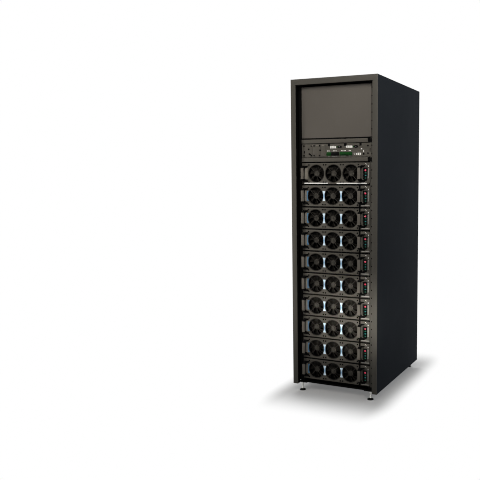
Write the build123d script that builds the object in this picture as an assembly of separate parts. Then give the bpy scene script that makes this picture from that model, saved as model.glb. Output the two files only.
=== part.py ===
from build123d import *
import os

# Modular power cabinet: a sheet-metal rack with a stack of withdrawable fan-cooled modules.
# Lengths are in millimetres. X runs to the right seen from the front, Y to the back, Z up.
# The origin is on the floor, under the middle of the cabinet.

# Cabinet
cabinet_width = 600.0
cabinet_depth = 850.0
frame_height = 2000.0
foot_height = 48.0
clearance = 0.3
overrun = 1.0

# Front frame, an upturned U of folded sheet
stile_width = 35.0
top_rail_height = 37.0
frame_sheet = 3.0
front_recess = 32.0

# Outer skin
side_panel_depth = 12.0
skin_sheet = 2.0
roof_depth = 12.0
roof_rib_width = 30.0
roof_rib_height = 3.0
roof_rib_margin = 70.0
roof_rib_count = 3

# Corner posts and rack uprights
post_depth = 40.0
post_wall = 2.5
upright_gap = 6.0
upright_sheet = 2.5
upright_web_depth = 40.0
rear_upright_setback = 640.0

# Base pan
base_height = 12.0
base_sheet = 3.0
base_front_setback = 50.0
base_tab_setback = 14.0
base_tab_width = 60.0
cable_entry_width = 240.0
cable_entry_depth = 90.0
cable_entry_setback = 120.0

# Levelling feet
foot_inset = 55.0
foot_setback = 32.0
stud_radius = 5.5
stud_nut_radius = 10.0
stud_nut_height = 6.0
pad_radius = 21.0
pad_neck_radius = 9.0
pad_height = 12.0
pad_rim_height = 4.0

# Module stack
module_count = 10
modules_base = 31.0
stack_share = 0.746
fascia_gap = 5.0
fascia_side_gap = 27.5
fascia_thickness = 3.5
fascia_wing = 17.5
case_side_gap = 9.0
case_depth = 640.0
case_gap = 6.0
case_rise = 8.0

# Runners that carry the modules
runner_sheet = 2.0
runner_ledge = 28.0
runner_web_height = 22.0
runner_front_setback = 38.5
runner_length = 640.0

# Fans
fans_per_module = 3
fan_room_share = 0.1
fan_gap = 6.5
fan_rim = 12.0
power_fan_shift = 3.2
bypass_fan_shift = 9.7
fan_well_depth = 46.0
hub_radius = 21.0
hub_height = 22.0
hub_crown = 3.0
blade_count = 7
blade_tip_gap = 7.5
blade_root_chord = 25.0
blade_tip_chord = 33.0
blade_root_thickness = 3.0
blade_tip_thickness = 2.0
blade_root_pitch = 52.0
blade_tip_pitch = 27.0
blade_root_sink = 2.0
rotor_guard_gap = 5.5
stator_radius = 17.0
guard_bar_width = 3.0
guard_bar_depth = 3.0
guard_boss_radius = 11.0
guard_bar_angle = 45.0

# Module handles, folded straps
handle_projection = 30.0
handle_height = 92.0
handle_corner = 10.0
handle_strap = 5.0
handle_width = 21.0
left_handle_inset = 15.3
right_handle_inset = 62.5
bracket_proud = 5.5
bracket_height = 10.0
left_bracket_reach = (8.0, 27.0)
right_bracket_reach = (16.0, 30.0)

# Module signal strip
signal_inset = 31.5
signal_width = 31.0
signal_height = 68.0
signal_depth = 3.0
split_inset = 68.5
split_width = 9.0
split_depth = 2.5
latch_inset = 28.5
latch_width = 56.0
latch_height = 8.0
latch_proud = 3.0
latch_rise = 8.0
bypass_bar_height = 7.0
bypass_bar_proud = 1.5
bypass_bar_rise = 3.5
bypass_bar_left_inset = 14.0
bypass_bar_right_inset = 20.0
bypass_bar_gap = 63.0
bypass_gap_x = -22.0
bypass_corner_radius = 16.0

# Upper panels
cover_side_gap = 21.0
cover_height = 25.5
cover_proud = 4.0
cover_end_notch = 20.0
end_block_gap = 1.5
end_block_proud = 1.5
end_block_overhang = 6.0
end_block_trim = 0.8
panel_gap = 3.0
control_height = 86.0
control_recess = 1.0
control_box_depth = 170.0
top_panel_gap = 11.0

# Control panel fittings
card_height = 79.0
card_proud = 1.5
card_gap = 4.0
card_width_shares = (0.145, 0.116, 0.072)
card_start_share = -0.485
socket_size = 15.0
socket_proud = 3.0
socket_drop = 21.0
socket_place_shares = (0.062, 0.3)
socket_bore = 5.0
socket_bore_depth = 2.0
terminal_height = 21.0
terminal_proud = 7.0
terminal_rise = 14.0
terminal_start_shares = (-0.125, -0.056, 0.069)
terminal_width_shares = (0.063, 0.114, 0.179)
terminal_chamfer = 3.0

# Rear vents
louvre_end_gap = 38.0
louvre_height = 10.0
louvre_proud = 5.0
louvre_pitch = 24.0
louvres_per_row = 3
rear_inset = 6.0

# Worked-out places
front_y = -cabinet_depth / 2
rear_y = cabinet_depth / 2
half_width = cabinet_width / 2
frame_base = foot_height
frame_top = frame_base + frame_height
opening_half = half_width - stile_width
opening_top = frame_top - top_rail_height
skin_inner = half_width - side_panel_depth
post_inner = opening_half + frame_sheet
post_width = skin_inner - post_inner
foot_offset_x = half_width - foot_inset
louvre_length = 2 * (post_inner - louvre_end_gap)
fascia_front = front_y + front_recess
fascia_back = fascia_front + fascia_thickness
fascia_width = 2 * (opening_half - fascia_side_gap)
cover_width = 2 * (opening_half - cover_side_gap)
control_width = fascia_width
case_width = fascia_width - 2 * fascia_wing
control_box_width = case_width
upright_inner = case_width / 2 + case_side_gap
upright_outer = post_inner - upright_gap
upright_front = fascia_back
rear_panel_front = rear_y - rear_inset - side_panel_depth
module_pitch = stack_share * (opening_top - frame_base - modules_base) / module_count
modules_top = frame_base + modules_base + module_count * module_pitch
fascia_height = module_pitch - fascia_gap
case_height = module_pitch - case_rise - case_gap
left_handle_x = left_handle_inset - fascia_width / 2
right_handle_x = fascia_width / 2 - right_handle_inset
fan_room = right_handle_x - left_handle_x - handle_width
fan_room_middle = (right_handle_x + left_handle_x) / 2
fan_pitch = fan_room / (fans_per_module + fan_room_share)
fan_opening_radius = min(fan_pitch - fan_gap, fascia_height - 2 * fan_rim) / 2
power_fan_offset = fan_room_middle + power_fan_shift
bypass_fan_offset = fan_room_middle + bypass_fan_shift
blade_tip_radius = fan_opening_radius - blade_tip_gap
signal_x = fascia_width / 2 - signal_inset
split_x = fascia_width / 2 - split_inset
latch_x = fascia_width / 2 - latch_inset
bypass_bar_ends = (
    (bypass_bar_left_inset - fascia_width / 2, bypass_gap_x - bypass_bar_gap / 2),
    (bypass_gap_x + bypass_bar_gap / 2, fascia_width / 2 - bypass_bar_right_inset),
)
base_top = frame_base + base_height
roof_underside = frame_top - roof_depth
rotor_front = fascia_front + guard_bar_depth + rotor_guard_gap
lower_cover_base = modules_top + fascia_gap / 2
control_base = lower_cover_base + cover_height + panel_gap
upper_cover_base = control_base + control_height + panel_gap
top_panel_base = upper_cover_base + cover_height + panel_gap
top_panel_top = opening_top - top_panel_gap


def block(low, high):
    """A box between two corners."""
    size = [high[i] - low[i] for i in range(len(low))]
    middle = [(high[i] + low[i]) / 2 for i in range(len(low))]
    return Pos(*middle) * Box(*size)


def both_sides(shape):
    """A shape and its mirror image across the cabinet's middle."""
    return [shape, mirror(shape, about=Plane.YZ)]


def front_disc(radius, depth, x, y, z):
    """A cylinder whose axis runs back along +Y from its front face at y."""
    return Pos(x, y + depth / 2, z) * Rot(90, 0, 0) * Cylinder(radius, depth)


def module_middle(row):
    """Height of a module's middle; row 0 is the bypass module at the top."""
    return modules_top - (row + 1 / 2) * module_pitch


def fan_places(offset):
    """X of each fan's axis."""
    first = offset - (fans_per_module - 1) * fan_pitch / 2
    return [first + i * fan_pitch for i in range(fans_per_module)]


def front_frame():
    """Face plate round the bay, with a fold that runs back along the opening."""
    face = block((-half_width, front_y, frame_base), (half_width, front_y + frame_sheet, frame_top))
    mouth = block(
        (-opening_half, front_y - overrun, frame_base - overrun),
        (opening_half, front_y + front_recess + overrun, opening_top),
    )
    fold = block(
        (-post_inner, front_y, frame_base),
        (post_inner, front_y + front_recess, opening_top + frame_sheet),
    )
    return face + fold - mouth


def side_panel():
    """Right-hand side panel: a shallow pan, open towards the inside."""
    outer = block((skin_inner, front_y + frame_sheet, frame_base), (half_width, rear_y, frame_top))
    hollow = block(
        (skin_inner - overrun, front_y + frame_sheet + post_depth, frame_base + side_panel_depth),
        (half_width - skin_sheet, rear_y - post_depth, frame_top - side_panel_depth),
    )
    return outer - hollow


def roof_panel():
    """Roof pan between the side panels, with pressed ribs across it."""
    front = front_y + frame_sheet
    lid = block((-skin_inner, front, roof_underside), (skin_inner, rear_y, frame_top - roof_rib_height))
    hollow = block(
        (-skin_inner + post_width, front + post_depth, roof_underside - overrun),
        (skin_inner - post_width, rear_y - post_depth, frame_top - roof_rib_height - skin_sheet),
    )
    roof = lid - hollow
    first = front + roof_rib_margin
    step = (rear_y - roof_rib_margin - first - roof_rib_width) / (roof_rib_count - 1)
    for i in range(roof_rib_count):
        y = first + i * step
        roof += block(
            (-skin_inner + roof_rib_margin, y, frame_top - roof_rib_height),
            (skin_inner - roof_rib_margin, y + roof_rib_width, frame_top),
        )
    return roof


def rear_panel():
    """Rear panel pan, with a group of pressed louvres behind each module."""
    panel = block(
        (-post_inner, rear_panel_front, base_top),
        (post_inner, rear_panel_front + side_panel_depth, roof_underside),
    )
    hollow = block(
        (-post_inner + side_panel_depth, rear_panel_front - overrun, base_top + side_panel_depth),
        (
            post_inner - side_panel_depth,
            rear_panel_front + side_panel_depth - skin_sheet,
            roof_underside - side_panel_depth,
        ),
    )
    panel -= hollow
    back = rear_panel_front + side_panel_depth
    for row in range(module_count):
        for i in range(louvres_per_row):
            z = module_middle(row) + (i - (louvres_per_row - 1) / 2) * louvre_pitch
            wedge = Polyline(
                (back - skin_sheet, z + louvre_height / 2),
                (back, z + louvre_height / 2),
                (back + louvre_proud, z - louvre_height / 2),
                (back - skin_sheet, z - louvre_height / 2),
                close=True,
            )
            louvre = extrude(Plane.YZ * make_face(wedge), amount=louvre_length / 2, both=True)
            panel += louvre
    return panel


def base_pan():
    """Floor pan with tabs over the front feet and a cable entry near the back."""
    front = front_y + base_front_setback
    back = rear_panel_front + side_panel_depth
    pan = block((-post_inner, front, frame_base), (post_inner, back, base_top))
    pan -= block(
        (-post_inner + base_sheet, front + base_sheet, frame_base - overrun),
        (post_inner - base_sheet, back - base_sheet, base_top - base_sheet),
    )
    tab = block(
        (opening_half - base_tab_width, front_y + base_tab_setback, base_top - base_sheet),
        (opening_half, front + base_sheet, base_top),
    )
    for shape in both_sides(tab):
        pan += shape
    entry_back = back - cable_entry_setback
    collar = block(
        (-cable_entry_width / 2 - base_sheet, entry_back - cable_entry_depth - base_sheet, frame_base),
        (cable_entry_width / 2 + base_sheet, entry_back + base_sheet, base_top),
    )
    entry = block(
        (-cable_entry_width / 2, entry_back - cable_entry_depth, frame_base - overrun),
        (cable_entry_width / 2, entry_back, base_top + overrun),
    )
    return pan + collar - entry


def post_at(y):
    """One right-hand corner post, a rectangular tube."""
    outer = block((post_inner, y, frame_base), (skin_inner, y + post_depth, roof_underside))
    bore = block(
        (post_inner + post_wall, y + post_wall, frame_base - overrun),
        (skin_inner - post_wall, y + post_depth - post_wall, roof_underside + overrun),
    )
    return outer - bore


def corner_posts():
    """Four corner posts between the side panels and the bay."""
    posts = []
    for y in (front_y + frame_sheet, rear_y - post_depth):
        posts += both_sides(post_at(y))
    return Compound(children=posts)


def upright_at(y):
    """One right-hand upright, a folded angle with its flange to the front."""
    flange = block(
        (upright_inner, y, base_top),
        (upright_outer, y + upright_sheet, roof_underside),
    )
    web = block(
        (upright_inner, y, base_top),
        (upright_inner + upright_sheet, y + upright_web_depth, roof_underside),
    )
    return flange + web


def rack_uprights():
    """Front and rear pairs of uprights that the runners hang on."""
    uprights = []
    for y in (upright_front, upright_front + rear_upright_setback):
        uprights += both_sides(upright_at(y))
    return Compound(children=uprights)


def runner_at(row):
    """Right-hand runner of one module: a ledge under the case and a web on the uprights."""
    top = module_middle(row) - module_pitch / 2 + case_rise - clearance
    front = front_y + runner_front_setback
    back = front + runner_length
    ledge = block(
        (upright_inner - runner_ledge, front, top - runner_sheet),
        (upright_inner, back, top),
    )
    web = block(
        (upright_inner - runner_sheet, front, top - runner_sheet),
        (upright_inner, back, top - runner_sheet + runner_web_height),
    )
    return ledge + web


def module_runners():
    """A pair of runners for every module."""
    runners = []
    for row in range(module_count):
        runners += both_sides(runner_at(row))
    return Compound(children=runners)


def top_blank_panel():
    """Plain upper panel that closes the bay above the control unit."""
    return block(
        (-fascia_width / 2, fascia_front, top_panel_base),
        (fascia_width / 2, fascia_back, top_panel_top),
    )


def cable_cover(base):
    """Cover strip over a cable tray, cut back at its right end."""
    return block(
        (-cover_width / 2, fascia_front - cover_proud, base),
        (cover_width / 2 - cover_end_notch, fascia_back, base + cover_height),
    )


def cover_end_blocks():
    """Cable inserts that close the cable trays at the right end of each cover."""
    left = cover_width / 2 - cover_end_notch + end_block_gap
    blocks = []
    for base in (upper_cover_base, lower_cover_base):
        blocks.append(
            block(
                (left, fascia_front - end_block_proud, base + end_block_trim),
                (
                    cover_width / 2 + end_block_overhang,
                    fascia_back,
                    base + cover_height - end_block_trim,
                ),
            )
        )
    return Compound(children=blocks)


def control_panel():
    """Control unit: a front plate and the box behind it."""
    plate_front = fascia_front + control_recess
    plate = block(
        (-control_width / 2, plate_front, control_base),
        (control_width / 2, fascia_back, control_base + control_height),
    )
    box = block(
        (-control_box_width / 2, fascia_back, control_base + panel_gap),
        (
            control_box_width / 2,
            fascia_back + control_box_depth,
            control_base + control_height - panel_gap,
        ),
    )
    return plate + box


def card_slot_covers():
    """Cover plates of the plug-in card slots, side by side."""
    plate_front = fascia_front + control_recess
    covers = []
    x = card_start_share * control_width
    low = control_base + (control_height - card_height) / 2
    for share in card_width_shares:
        width = share * control_width
        covers.append(
            block((x, plate_front - card_proud, low), (x + width, plate_front, low + card_height))
        )
        x += width + card_gap
    return Compound(children=covers)


def terminal_blocks():
    """Plug-in terminal blocks in a row, with a chamfer along their upper front edge."""
    plate_front = fascia_front + control_recess
    low = control_base + terminal_rise
    high = low + terminal_height
    blocks = []
    for start_share, width_share in zip(terminal_start_shares, terminal_width_shares):
        outline = Polyline(
            (plate_front, low),
            (plate_front, high),
            (plate_front - terminal_proud + terminal_chamfer, high),
            (plate_front - terminal_proud, high - terminal_chamfer),
            (plate_front - terminal_proud, low),
            close=True,
        )
        body = extrude(Plane.YZ * make_face(outline), amount=width_share * control_width)
        blocks.append(Pos(start_share * control_width, 0, 0) * body)
    return Compound(children=blocks)


def signal_sockets():
    """Round signal sockets in square bodies."""
    plate_front = fascia_front + control_recess
    middle = control_base + control_height - socket_drop
    sockets = []
    for share in socket_place_shares:
        x = share * control_width
        body = block(
            (x - socket_size / 2, plate_front - socket_proud, middle - socket_size / 2),
            (x + socket_size / 2, plate_front, middle + socket_size / 2),
        )
        bore = front_disc(
            socket_bore,
            socket_bore_depth + overrun,
            x,
            plate_front - socket_proud - overrun,
            middle,
        )
        sockets.append(body - bore)
    return Compound(children=sockets)


def feet_places():
    """X and Y of the four feet."""
    return [
        (x, y)
        for x in (-foot_offset_x, foot_offset_x)
        for y in (front_y + foot_setback, rear_y - foot_setback - rear_inset)
    ]


def foot_studs():
    """Threaded studs with their lock nuts, under the base pan."""
    studs = []
    for x, y in feet_places():
        top = base_top - base_sheet
        rod = Pos(x, y, (pad_height + top) / 2) * Cylinder(stud_radius, top - pad_height)
        nut_base = frame_base - stud_nut_height
        nut = extrude(
            Pos(x, y, nut_base) * RegularPolygon(stud_nut_radius, 6), amount=stud_nut_height
        )
        studs.append(rod + nut)
    return Compound(children=studs)


def foot_pads():
    """Round pads, coned up to a neck that holds the stud."""
    pads = []
    outline = Polyline(
        (0, 0),
        (pad_radius, 0),
        (pad_radius, pad_rim_height),
        (pad_neck_radius, pad_height),
        (0, pad_height),
        close=True,
    )
    pad = revolve(Plane.XZ * make_face(outline), axis=Axis.Z)
    for x, y in feet_places():
        pads.append(Pos(x, y, 0) * pad)
    return Compound(children=pads)


def handle(x):
    """Folded strap handle, open at both sides so that a hand goes behind it."""
    half = handle_height / 2
    outer = Polyline(
        (0, half),
        (-handle_projection + handle_corner, half),
        (-handle_projection, half - handle_corner),
        (-handle_projection, -half + handle_corner),
        (-handle_projection + handle_corner, -half),
        (0, -half),
        close=True,
    )
    inner_half = half - handle_strap
    inner_front = handle_projection - handle_strap
    inner = Polyline(
        (overrun, inner_half),
        (-inner_front + handle_corner, inner_half),
        (-inner_front, inner_half - handle_corner),
        (-inner_front, -inner_half + handle_corner),
        (-inner_front + handle_corner, -inner_half),
        (overrun, -inner_half),
        close=True,
    )
    strap = extrude(Plane.YZ * make_face(outer), amount=handle_width / 2, both=True)
    hand_room = extrude(Plane.YZ * make_face(inner), amount=handle_width, both=True)
    return Pos(x, fascia_front, 0) * (strap - hand_room)


def handle_brackets(x, reach):
    """Brackets that carry a handle's two ends on the fascia."""
    near, far = reach
    end = handle_height / 2
    bracket = block(
        (x - near, fascia_front - bracket_proud, end - handle_strap),
        (x + far, fascia_front, end - handle_strap + bracket_height),
    )
    return bracket + mirror(bracket, about=Plane.XY)


def fan_guard(x):
    """Two crossed bars with a boss, across the mouth of a fan well."""
    guard = front_disc(guard_boss_radius, guard_bar_depth, x, fascia_front, 0)
    for angle in (guard_bar_angle, -guard_bar_angle):
        bar = Box(2 * fan_opening_radius, guard_bar_depth, guard_bar_width)
        guard += Pos(x, fascia_front + guard_bar_depth / 2, 0) * Rot(0, angle, 0) * bar
    return guard


def module_body(fan_offset, split):
    """A module's fixed body about its own middle: case, fascia, fan wells, handles."""
    half_fascia = fascia_height / 2
    body = block(
        (-fascia_width / 2, fascia_front, -half_fascia),
        (fascia_width / 2, fascia_back, half_fascia),
    )
    case_base = case_rise - module_pitch / 2
    body += block(
        (-case_width / 2, fascia_back, case_base),
        (case_width / 2, fascia_back + case_depth, case_base + case_height),
    )
    signal_half = signal_height / 2
    body -= block(
        (signal_x - signal_width / 2, fascia_front - overrun, -signal_half),
        (signal_x + signal_width / 2, fascia_front + signal_depth, signal_half),
    )
    if split:
        body -= block(
            (split_x - split_width / 2, fascia_front - overrun, -half_fascia - overrun),
            (split_x + split_width / 2, fascia_front + split_depth, half_fascia + overrun),
        )
        body += block(
            (latch_x - latch_width / 2, fascia_front - latch_proud, latch_rise - half_fascia),
            (latch_x + latch_width / 2, fascia_front, latch_rise + latch_height - half_fascia),
        )
    stator_front = rotor_front + hub_height + clearance
    well_back = fascia_front + fan_well_depth
    for x in fan_places(fan_offset):
        body -= front_disc(
            fan_opening_radius, fan_well_depth + overrun, x, fascia_front - overrun, 0
        )
        body += front_disc(stator_radius, well_back - stator_front, x, stator_front, 0)
        body += fan_guard(x)
    body += handle(left_handle_x) + handle_brackets(left_handle_x, left_bracket_reach)
    body += handle(right_handle_x) + handle_brackets(right_handle_x, right_bracket_reach)
    return body


def power_module():
    """A power module about its own middle."""
    return module_body(power_fan_offset, True)


def bypass_module():
    """The bypass module: a broken bright bar along its foot and one rounded corner."""
    body = module_body(bypass_fan_offset, False)
    low = bypass_bar_rise - fascia_height / 2
    for left, right in bypass_bar_ends:
        body += block(
            (left, fascia_front - bypass_bar_proud, low),
            (right, fascia_front, low + bypass_bar_height),
        )
    corner_x = fascia_width / 2
    corner_z = -fascia_height / 2
    corner = block(
        (corner_x - bypass_corner_radius, fascia_front - overrun, corner_z - overrun),
        (corner_x + overrun, fascia_back, corner_z + bypass_corner_radius),
    )
    corner -= front_disc(
        bypass_corner_radius,
        fascia_thickness + 2 * overrun,
        corner_x - bypass_corner_radius,
        fascia_front - overrun,
        corner_z + bypass_corner_radius,
    )
    return body - corner


def fan_blade():
    """One twisted blade along +X, from inside the hub to the tip."""
    middle = hub_height / 2
    root_plane = Plane(
        origin=(hub_radius - blade_root_sink, middle, 0), x_dir=(0, 0, 1), z_dir=(1, 0, 0)
    )
    tip_plane = Plane(origin=(blade_tip_radius, middle, 0), x_dir=(0, 0, 1), z_dir=(1, 0, 0))
    root = root_plane * Rectangle(blade_root_chord, blade_root_thickness, rotation=blade_root_pitch)
    tip = tip_plane * Rectangle(blade_tip_chord, blade_tip_thickness, rotation=blade_tip_pitch)
    return loft([root.face(), tip.face()], ruled=True)


def fan_rotor():
    """Crowned hub with twisted blades; its front face lies at y = 0."""
    outline = Polyline(
        (0, 0),
        (hub_radius - hub_crown, 0),
        (hub_radius, hub_crown),
        (hub_radius, hub_height),
        (0, hub_height),
        close=True,
    )
    rotor = revolve(make_face(outline), axis=Axis.Y)
    blade = fan_blade()
    for i in range(blade_count):
        rotor += Rot(0, i * 360 / blade_count, 0) * blade
    return rotor


def row_name(row):
    """Node name of the module in a row, counted from the top."""
    if row == 0:
        return "bypass_module"
    return f"power_module_{row:02d}"


def rotor_name(row, fan):
    """Node name of one fan's rotor."""
    place = ("left", "centre", "right")[fan]
    return f"{row_name(row)}_rotor_{place}"


def save(shape, name):
    """Writes one node."""
    export_step(shape, f"parts/{name}.step")


def main():
    os.makedirs("parts", exist_ok=True)
    right_side = side_panel()
    save(front_frame(), "front_frame")
    save(right_side, "right_side_panel")
    save(mirror(right_side, about=Plane.YZ), "left_side_panel")
    save(roof_panel(), "roof_panel")
    save(rear_panel(), "rear_panel")
    save(base_pan(), "base_pan")
    save(corner_posts(), "corner_posts")
    save(rack_uprights(), "rack_uprights")
    save(module_runners(), "module_runners")
    save(top_blank_panel(), "top_blank_panel")
    save(cable_cover(upper_cover_base), "upper_cable_cover")
    save(cable_cover(lower_cover_base), "lower_cable_cover")
    save(cover_end_blocks(), "cover_end_blocks")
    save(control_panel(), "control_panel")
    save(card_slot_covers(), "card_slot_covers")
    save(terminal_blocks(), "terminal_blocks")
    save(signal_sockets(), "signal_sockets")
    save(foot_studs(), "foot_studs")
    save(foot_pads(), "foot_pads")
    bypass = bypass_module()
    power = power_module()
    rotor = fan_rotor()
    for row in range(module_count):
        body = power
        offset = power_fan_offset
        if row == 0:
            body = bypass
            offset = bypass_fan_offset
        z = module_middle(row)
        save(Pos(0, 0, z) * body, row_name(row))
        for fan, x in enumerate(fan_places(offset)):
            save(Pos(x, rotor_front, z) * rotor, rotor_name(row, fan))


main()
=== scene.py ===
"""Looks of the modular power cabinet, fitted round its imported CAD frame.

Sizes in the classes are millimetres in the row frame, the same values as in the part's source.
"""

from __future__ import annotations

import logging
import math
from dataclasses import dataclass, field
from enum import Enum
from typing import Callable, Iterable, Sequence, Union

import bmesh
import bpy
from mathutils import Matrix, Vector
from mathutils.geometry import tessellate_polygon


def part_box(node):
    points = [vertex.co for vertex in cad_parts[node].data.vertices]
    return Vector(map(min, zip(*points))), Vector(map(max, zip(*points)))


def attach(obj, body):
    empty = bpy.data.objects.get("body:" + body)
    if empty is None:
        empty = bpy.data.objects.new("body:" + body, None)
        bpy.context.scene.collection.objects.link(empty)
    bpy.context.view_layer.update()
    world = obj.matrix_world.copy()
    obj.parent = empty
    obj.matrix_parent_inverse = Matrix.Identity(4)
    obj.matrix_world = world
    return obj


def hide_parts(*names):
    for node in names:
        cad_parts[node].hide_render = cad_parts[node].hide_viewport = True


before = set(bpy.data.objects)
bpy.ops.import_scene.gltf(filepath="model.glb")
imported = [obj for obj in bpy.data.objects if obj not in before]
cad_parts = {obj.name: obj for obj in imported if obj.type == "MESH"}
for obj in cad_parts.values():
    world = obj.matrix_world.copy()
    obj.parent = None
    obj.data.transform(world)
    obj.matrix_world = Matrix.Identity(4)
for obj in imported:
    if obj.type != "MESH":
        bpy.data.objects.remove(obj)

LOG = logging.getLogger("cabinet")
MM = 0.001
SHARP = math.radians(35)
LONG_SIDE = 9.0
CABINET = "cabinet"

Mesh = bpy.types.Mesh
Flat = tuple[float, float]
Point = tuple[float, float, float]
Loop = Sequence[Flat]
Value = Union["Sock", float, int, bool, tuple, bpy.types.NodeSocket, None]
Inputs = dict[str | int, Value]


def srgb(red: int, green: int, blue: int) -> Point:
    """Linear colour of an 8-bit screen colour."""
    shares = (red / 255, green / 255, blue / 255)
    return tuple(c / 12.92 if c <= 0.04045 else ((c + 0.055) / 1.055) ** 2.4 for c in shares)


# ------------ nodes


def step(operation: str, turned: bool = False, clamp: bool = False) -> Callable[..., Sock]:
    """A method of Sock that puts its values, in turned order where asked, through a Math node."""

    def method(sock: Sock, *others: Value) -> Sock:
        """Adds the node."""
        values = (*others, sock) if turned else (sock, *others)
        settings = {"operation": operation, "use_clamp": clamp}
        return sock.graph.out("ShaderNodeMath", dict(enumerate(values)), settings)

    return method


class Sock:
    """A node's output, with the operators that add Math nodes behind it."""

    def __init__(self, graph: Graph, socket: bpy.types.NodeSocket) -> None:
        """Keeps the graph that new nodes go into."""
        self.graph = graph
        self.socket = socket

    __add__ = __radd__ = step("ADD")
    __sub__ = step("SUBTRACT")
    __rsub__ = step("SUBTRACT", turned=True)
    __mul__ = __rmul__ = step("MULTIPLY")
    __truediv__ = step("DIVIDE")
    __rtruediv__ = step("DIVIDE", turned=True)
    sine = step("SINE")
    cosine = step("COSINE")
    distance = step("ABSOLUTE")
    root = step("SQRT", clamp=True)
    share = step("MULTIPLY", clamp=True)

    def eased(self) -> Sock:
        """The value from 0 to 1 with a soft start and end."""
        return self * self * (3.0 - self * 2.0)

    def between(self, low: float, high: float) -> Sock:
        """0 below low, 1 above high, and a straight ramp between them."""
        return (self - low).share(1 / (high - low))


class Graph:
    """A node tree under construction."""

    def __init__(self, tree: bpy.types.NodeTree) -> None:
        """Starts on an existing tree."""
        self.tree = tree

    @classmethod
    def blank(cls, owner: bpy.types.ID) -> Graph:
        """The emptied graph of a material or a world."""
        owner.use_nodes = True
        owner.node_tree.nodes.clear()
        return cls(owner.node_tree)

    def add(
        self, kind: str, inputs: Inputs | None = None, settings: dict[str, object] | None = None
    ) -> bpy.types.Node:
        """Adds a node, sets it up and feeds its sockets.

        Args:
            kind: The node's type name.
            inputs: Values or links by socket name or number.
            settings: Properties of the node.

        Returns:
            The node.
        """
        node = self.tree.nodes.new(kind)
        for name, value in (settings or {}).items():
            setattr(node, name, value)
        self.fill(node, inputs or {})
        return node

    def out(
        self,
        kind: str,
        inputs: Inputs | None = None,
        settings: dict[str, object] | None = None,
        output: str | int = 0,
    ) -> Sock:
        """Adds a node and returns one of its outputs."""
        return Sock(self, self.add(kind, inputs, settings).outputs[output])

    def fill(self, node: bpy.types.Node, inputs: Inputs) -> None:
        """Links or sets several sockets of a node."""
        for key, value in inputs.items():
            self.feed(node.inputs[key], value)

    def feed(self, socket: bpy.types.NodeSocket, value: Value) -> None:
        """Links or sets one socket."""
        if isinstance(value, Sock):
            self.tree.links.new(value.socket, socket)
        elif isinstance(value, bpy.types.NodeSocket):
            self.tree.links.new(value, socket)
        elif value is not None:
            if socket.type == "RGBA" and len(value) == 3:
                value = (*value, 1.0)
            socket.default_value = value

    def mix(self, factor: Value, first: Value, second: Value) -> Sock:
        """A colour between two colours."""
        inputs = {0: factor, 6: first, 7: second}
        return self.out("ShaderNodeMix", inputs, {"data_type": "RGBA"}, 2)

    def spot(self, stretch: Point | None = None) -> Sock:
        """Object coordinates, stretched per axis where asked."""
        place = self.out("ShaderNodeTexCoord", output="Object")
        if stretch is None:
            return place
        return self.out("ShaderNodeMapping", {"Vector": place, "Scale": stretch})

    def noise(self, place: Sock, scale: float, detail: float = 2.0) -> Sock:
        """Noise from 0 to 1 at a scale per metre."""
        inputs = {"Vector": place, "Scale": scale, "Detail": detail}
        return self.out("ShaderNodeTexNoise", inputs)

    def bump(self, height: Sock, depth: float, strength: float = 1.0) -> Sock:
        """A normal bent by a height, depth in metres."""
        inputs = {"Height": height, "Distance": depth, "Strength": strength}
        return self.out("ShaderNodeBump", inputs)


# ------------ finishes


@dataclass(frozen=True)
class Finish:
    """What every finish has: its name, its colour, its roughness and how strongly it mirrors."""

    name: str
    colour: Point
    roughness: float = 0.5
    gloss: float = 0.1
    blend: Flat = (0.25, 0.75)

    def material(self) -> bpy.types.Material:
        """The finish's material, built the first time it is asked for."""
        label = f"finish_{self.name}"
        made = bpy.data.materials.get(label)
        if made is not None:
            return made
        made = bpy.data.materials.new(label)
        made.diffuse_color = (*self.colour, 1.0)
        graph = Graph.blank(made)
        base = {
            "Base Color": self.colour,
            "Roughness": self.roughness,
            "Specular IOR Level": self.gloss,
        }
        shader = graph.add("ShaderNodeBsdfPrincipled", base)
        graph.add("ShaderNodeOutputMaterial", {"Surface": shader.outputs[0]})
        graph.fill(shader, self.dress(graph))
        return made

    def dress(self, graph: Graph) -> dict[str, Value]:
        """What varies over the surface, and what is constant on it, by the shader's socket."""
        raise NotImplementedError

    def shade(self, factor: float) -> Point:
        """The finish's colour made lighter or darker."""
        return tuple(min(1.0, c * factor) for c in self.colour)

    def mottled(self, graph: Graph, tone: Sock, dark: float, light: float) -> Sock:
        """The finish's colour between two shades, by a tone from 0 to 1."""
        return graph.mix(tone.between(*self.blend), self.shade(dark), self.shade(light))


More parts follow.
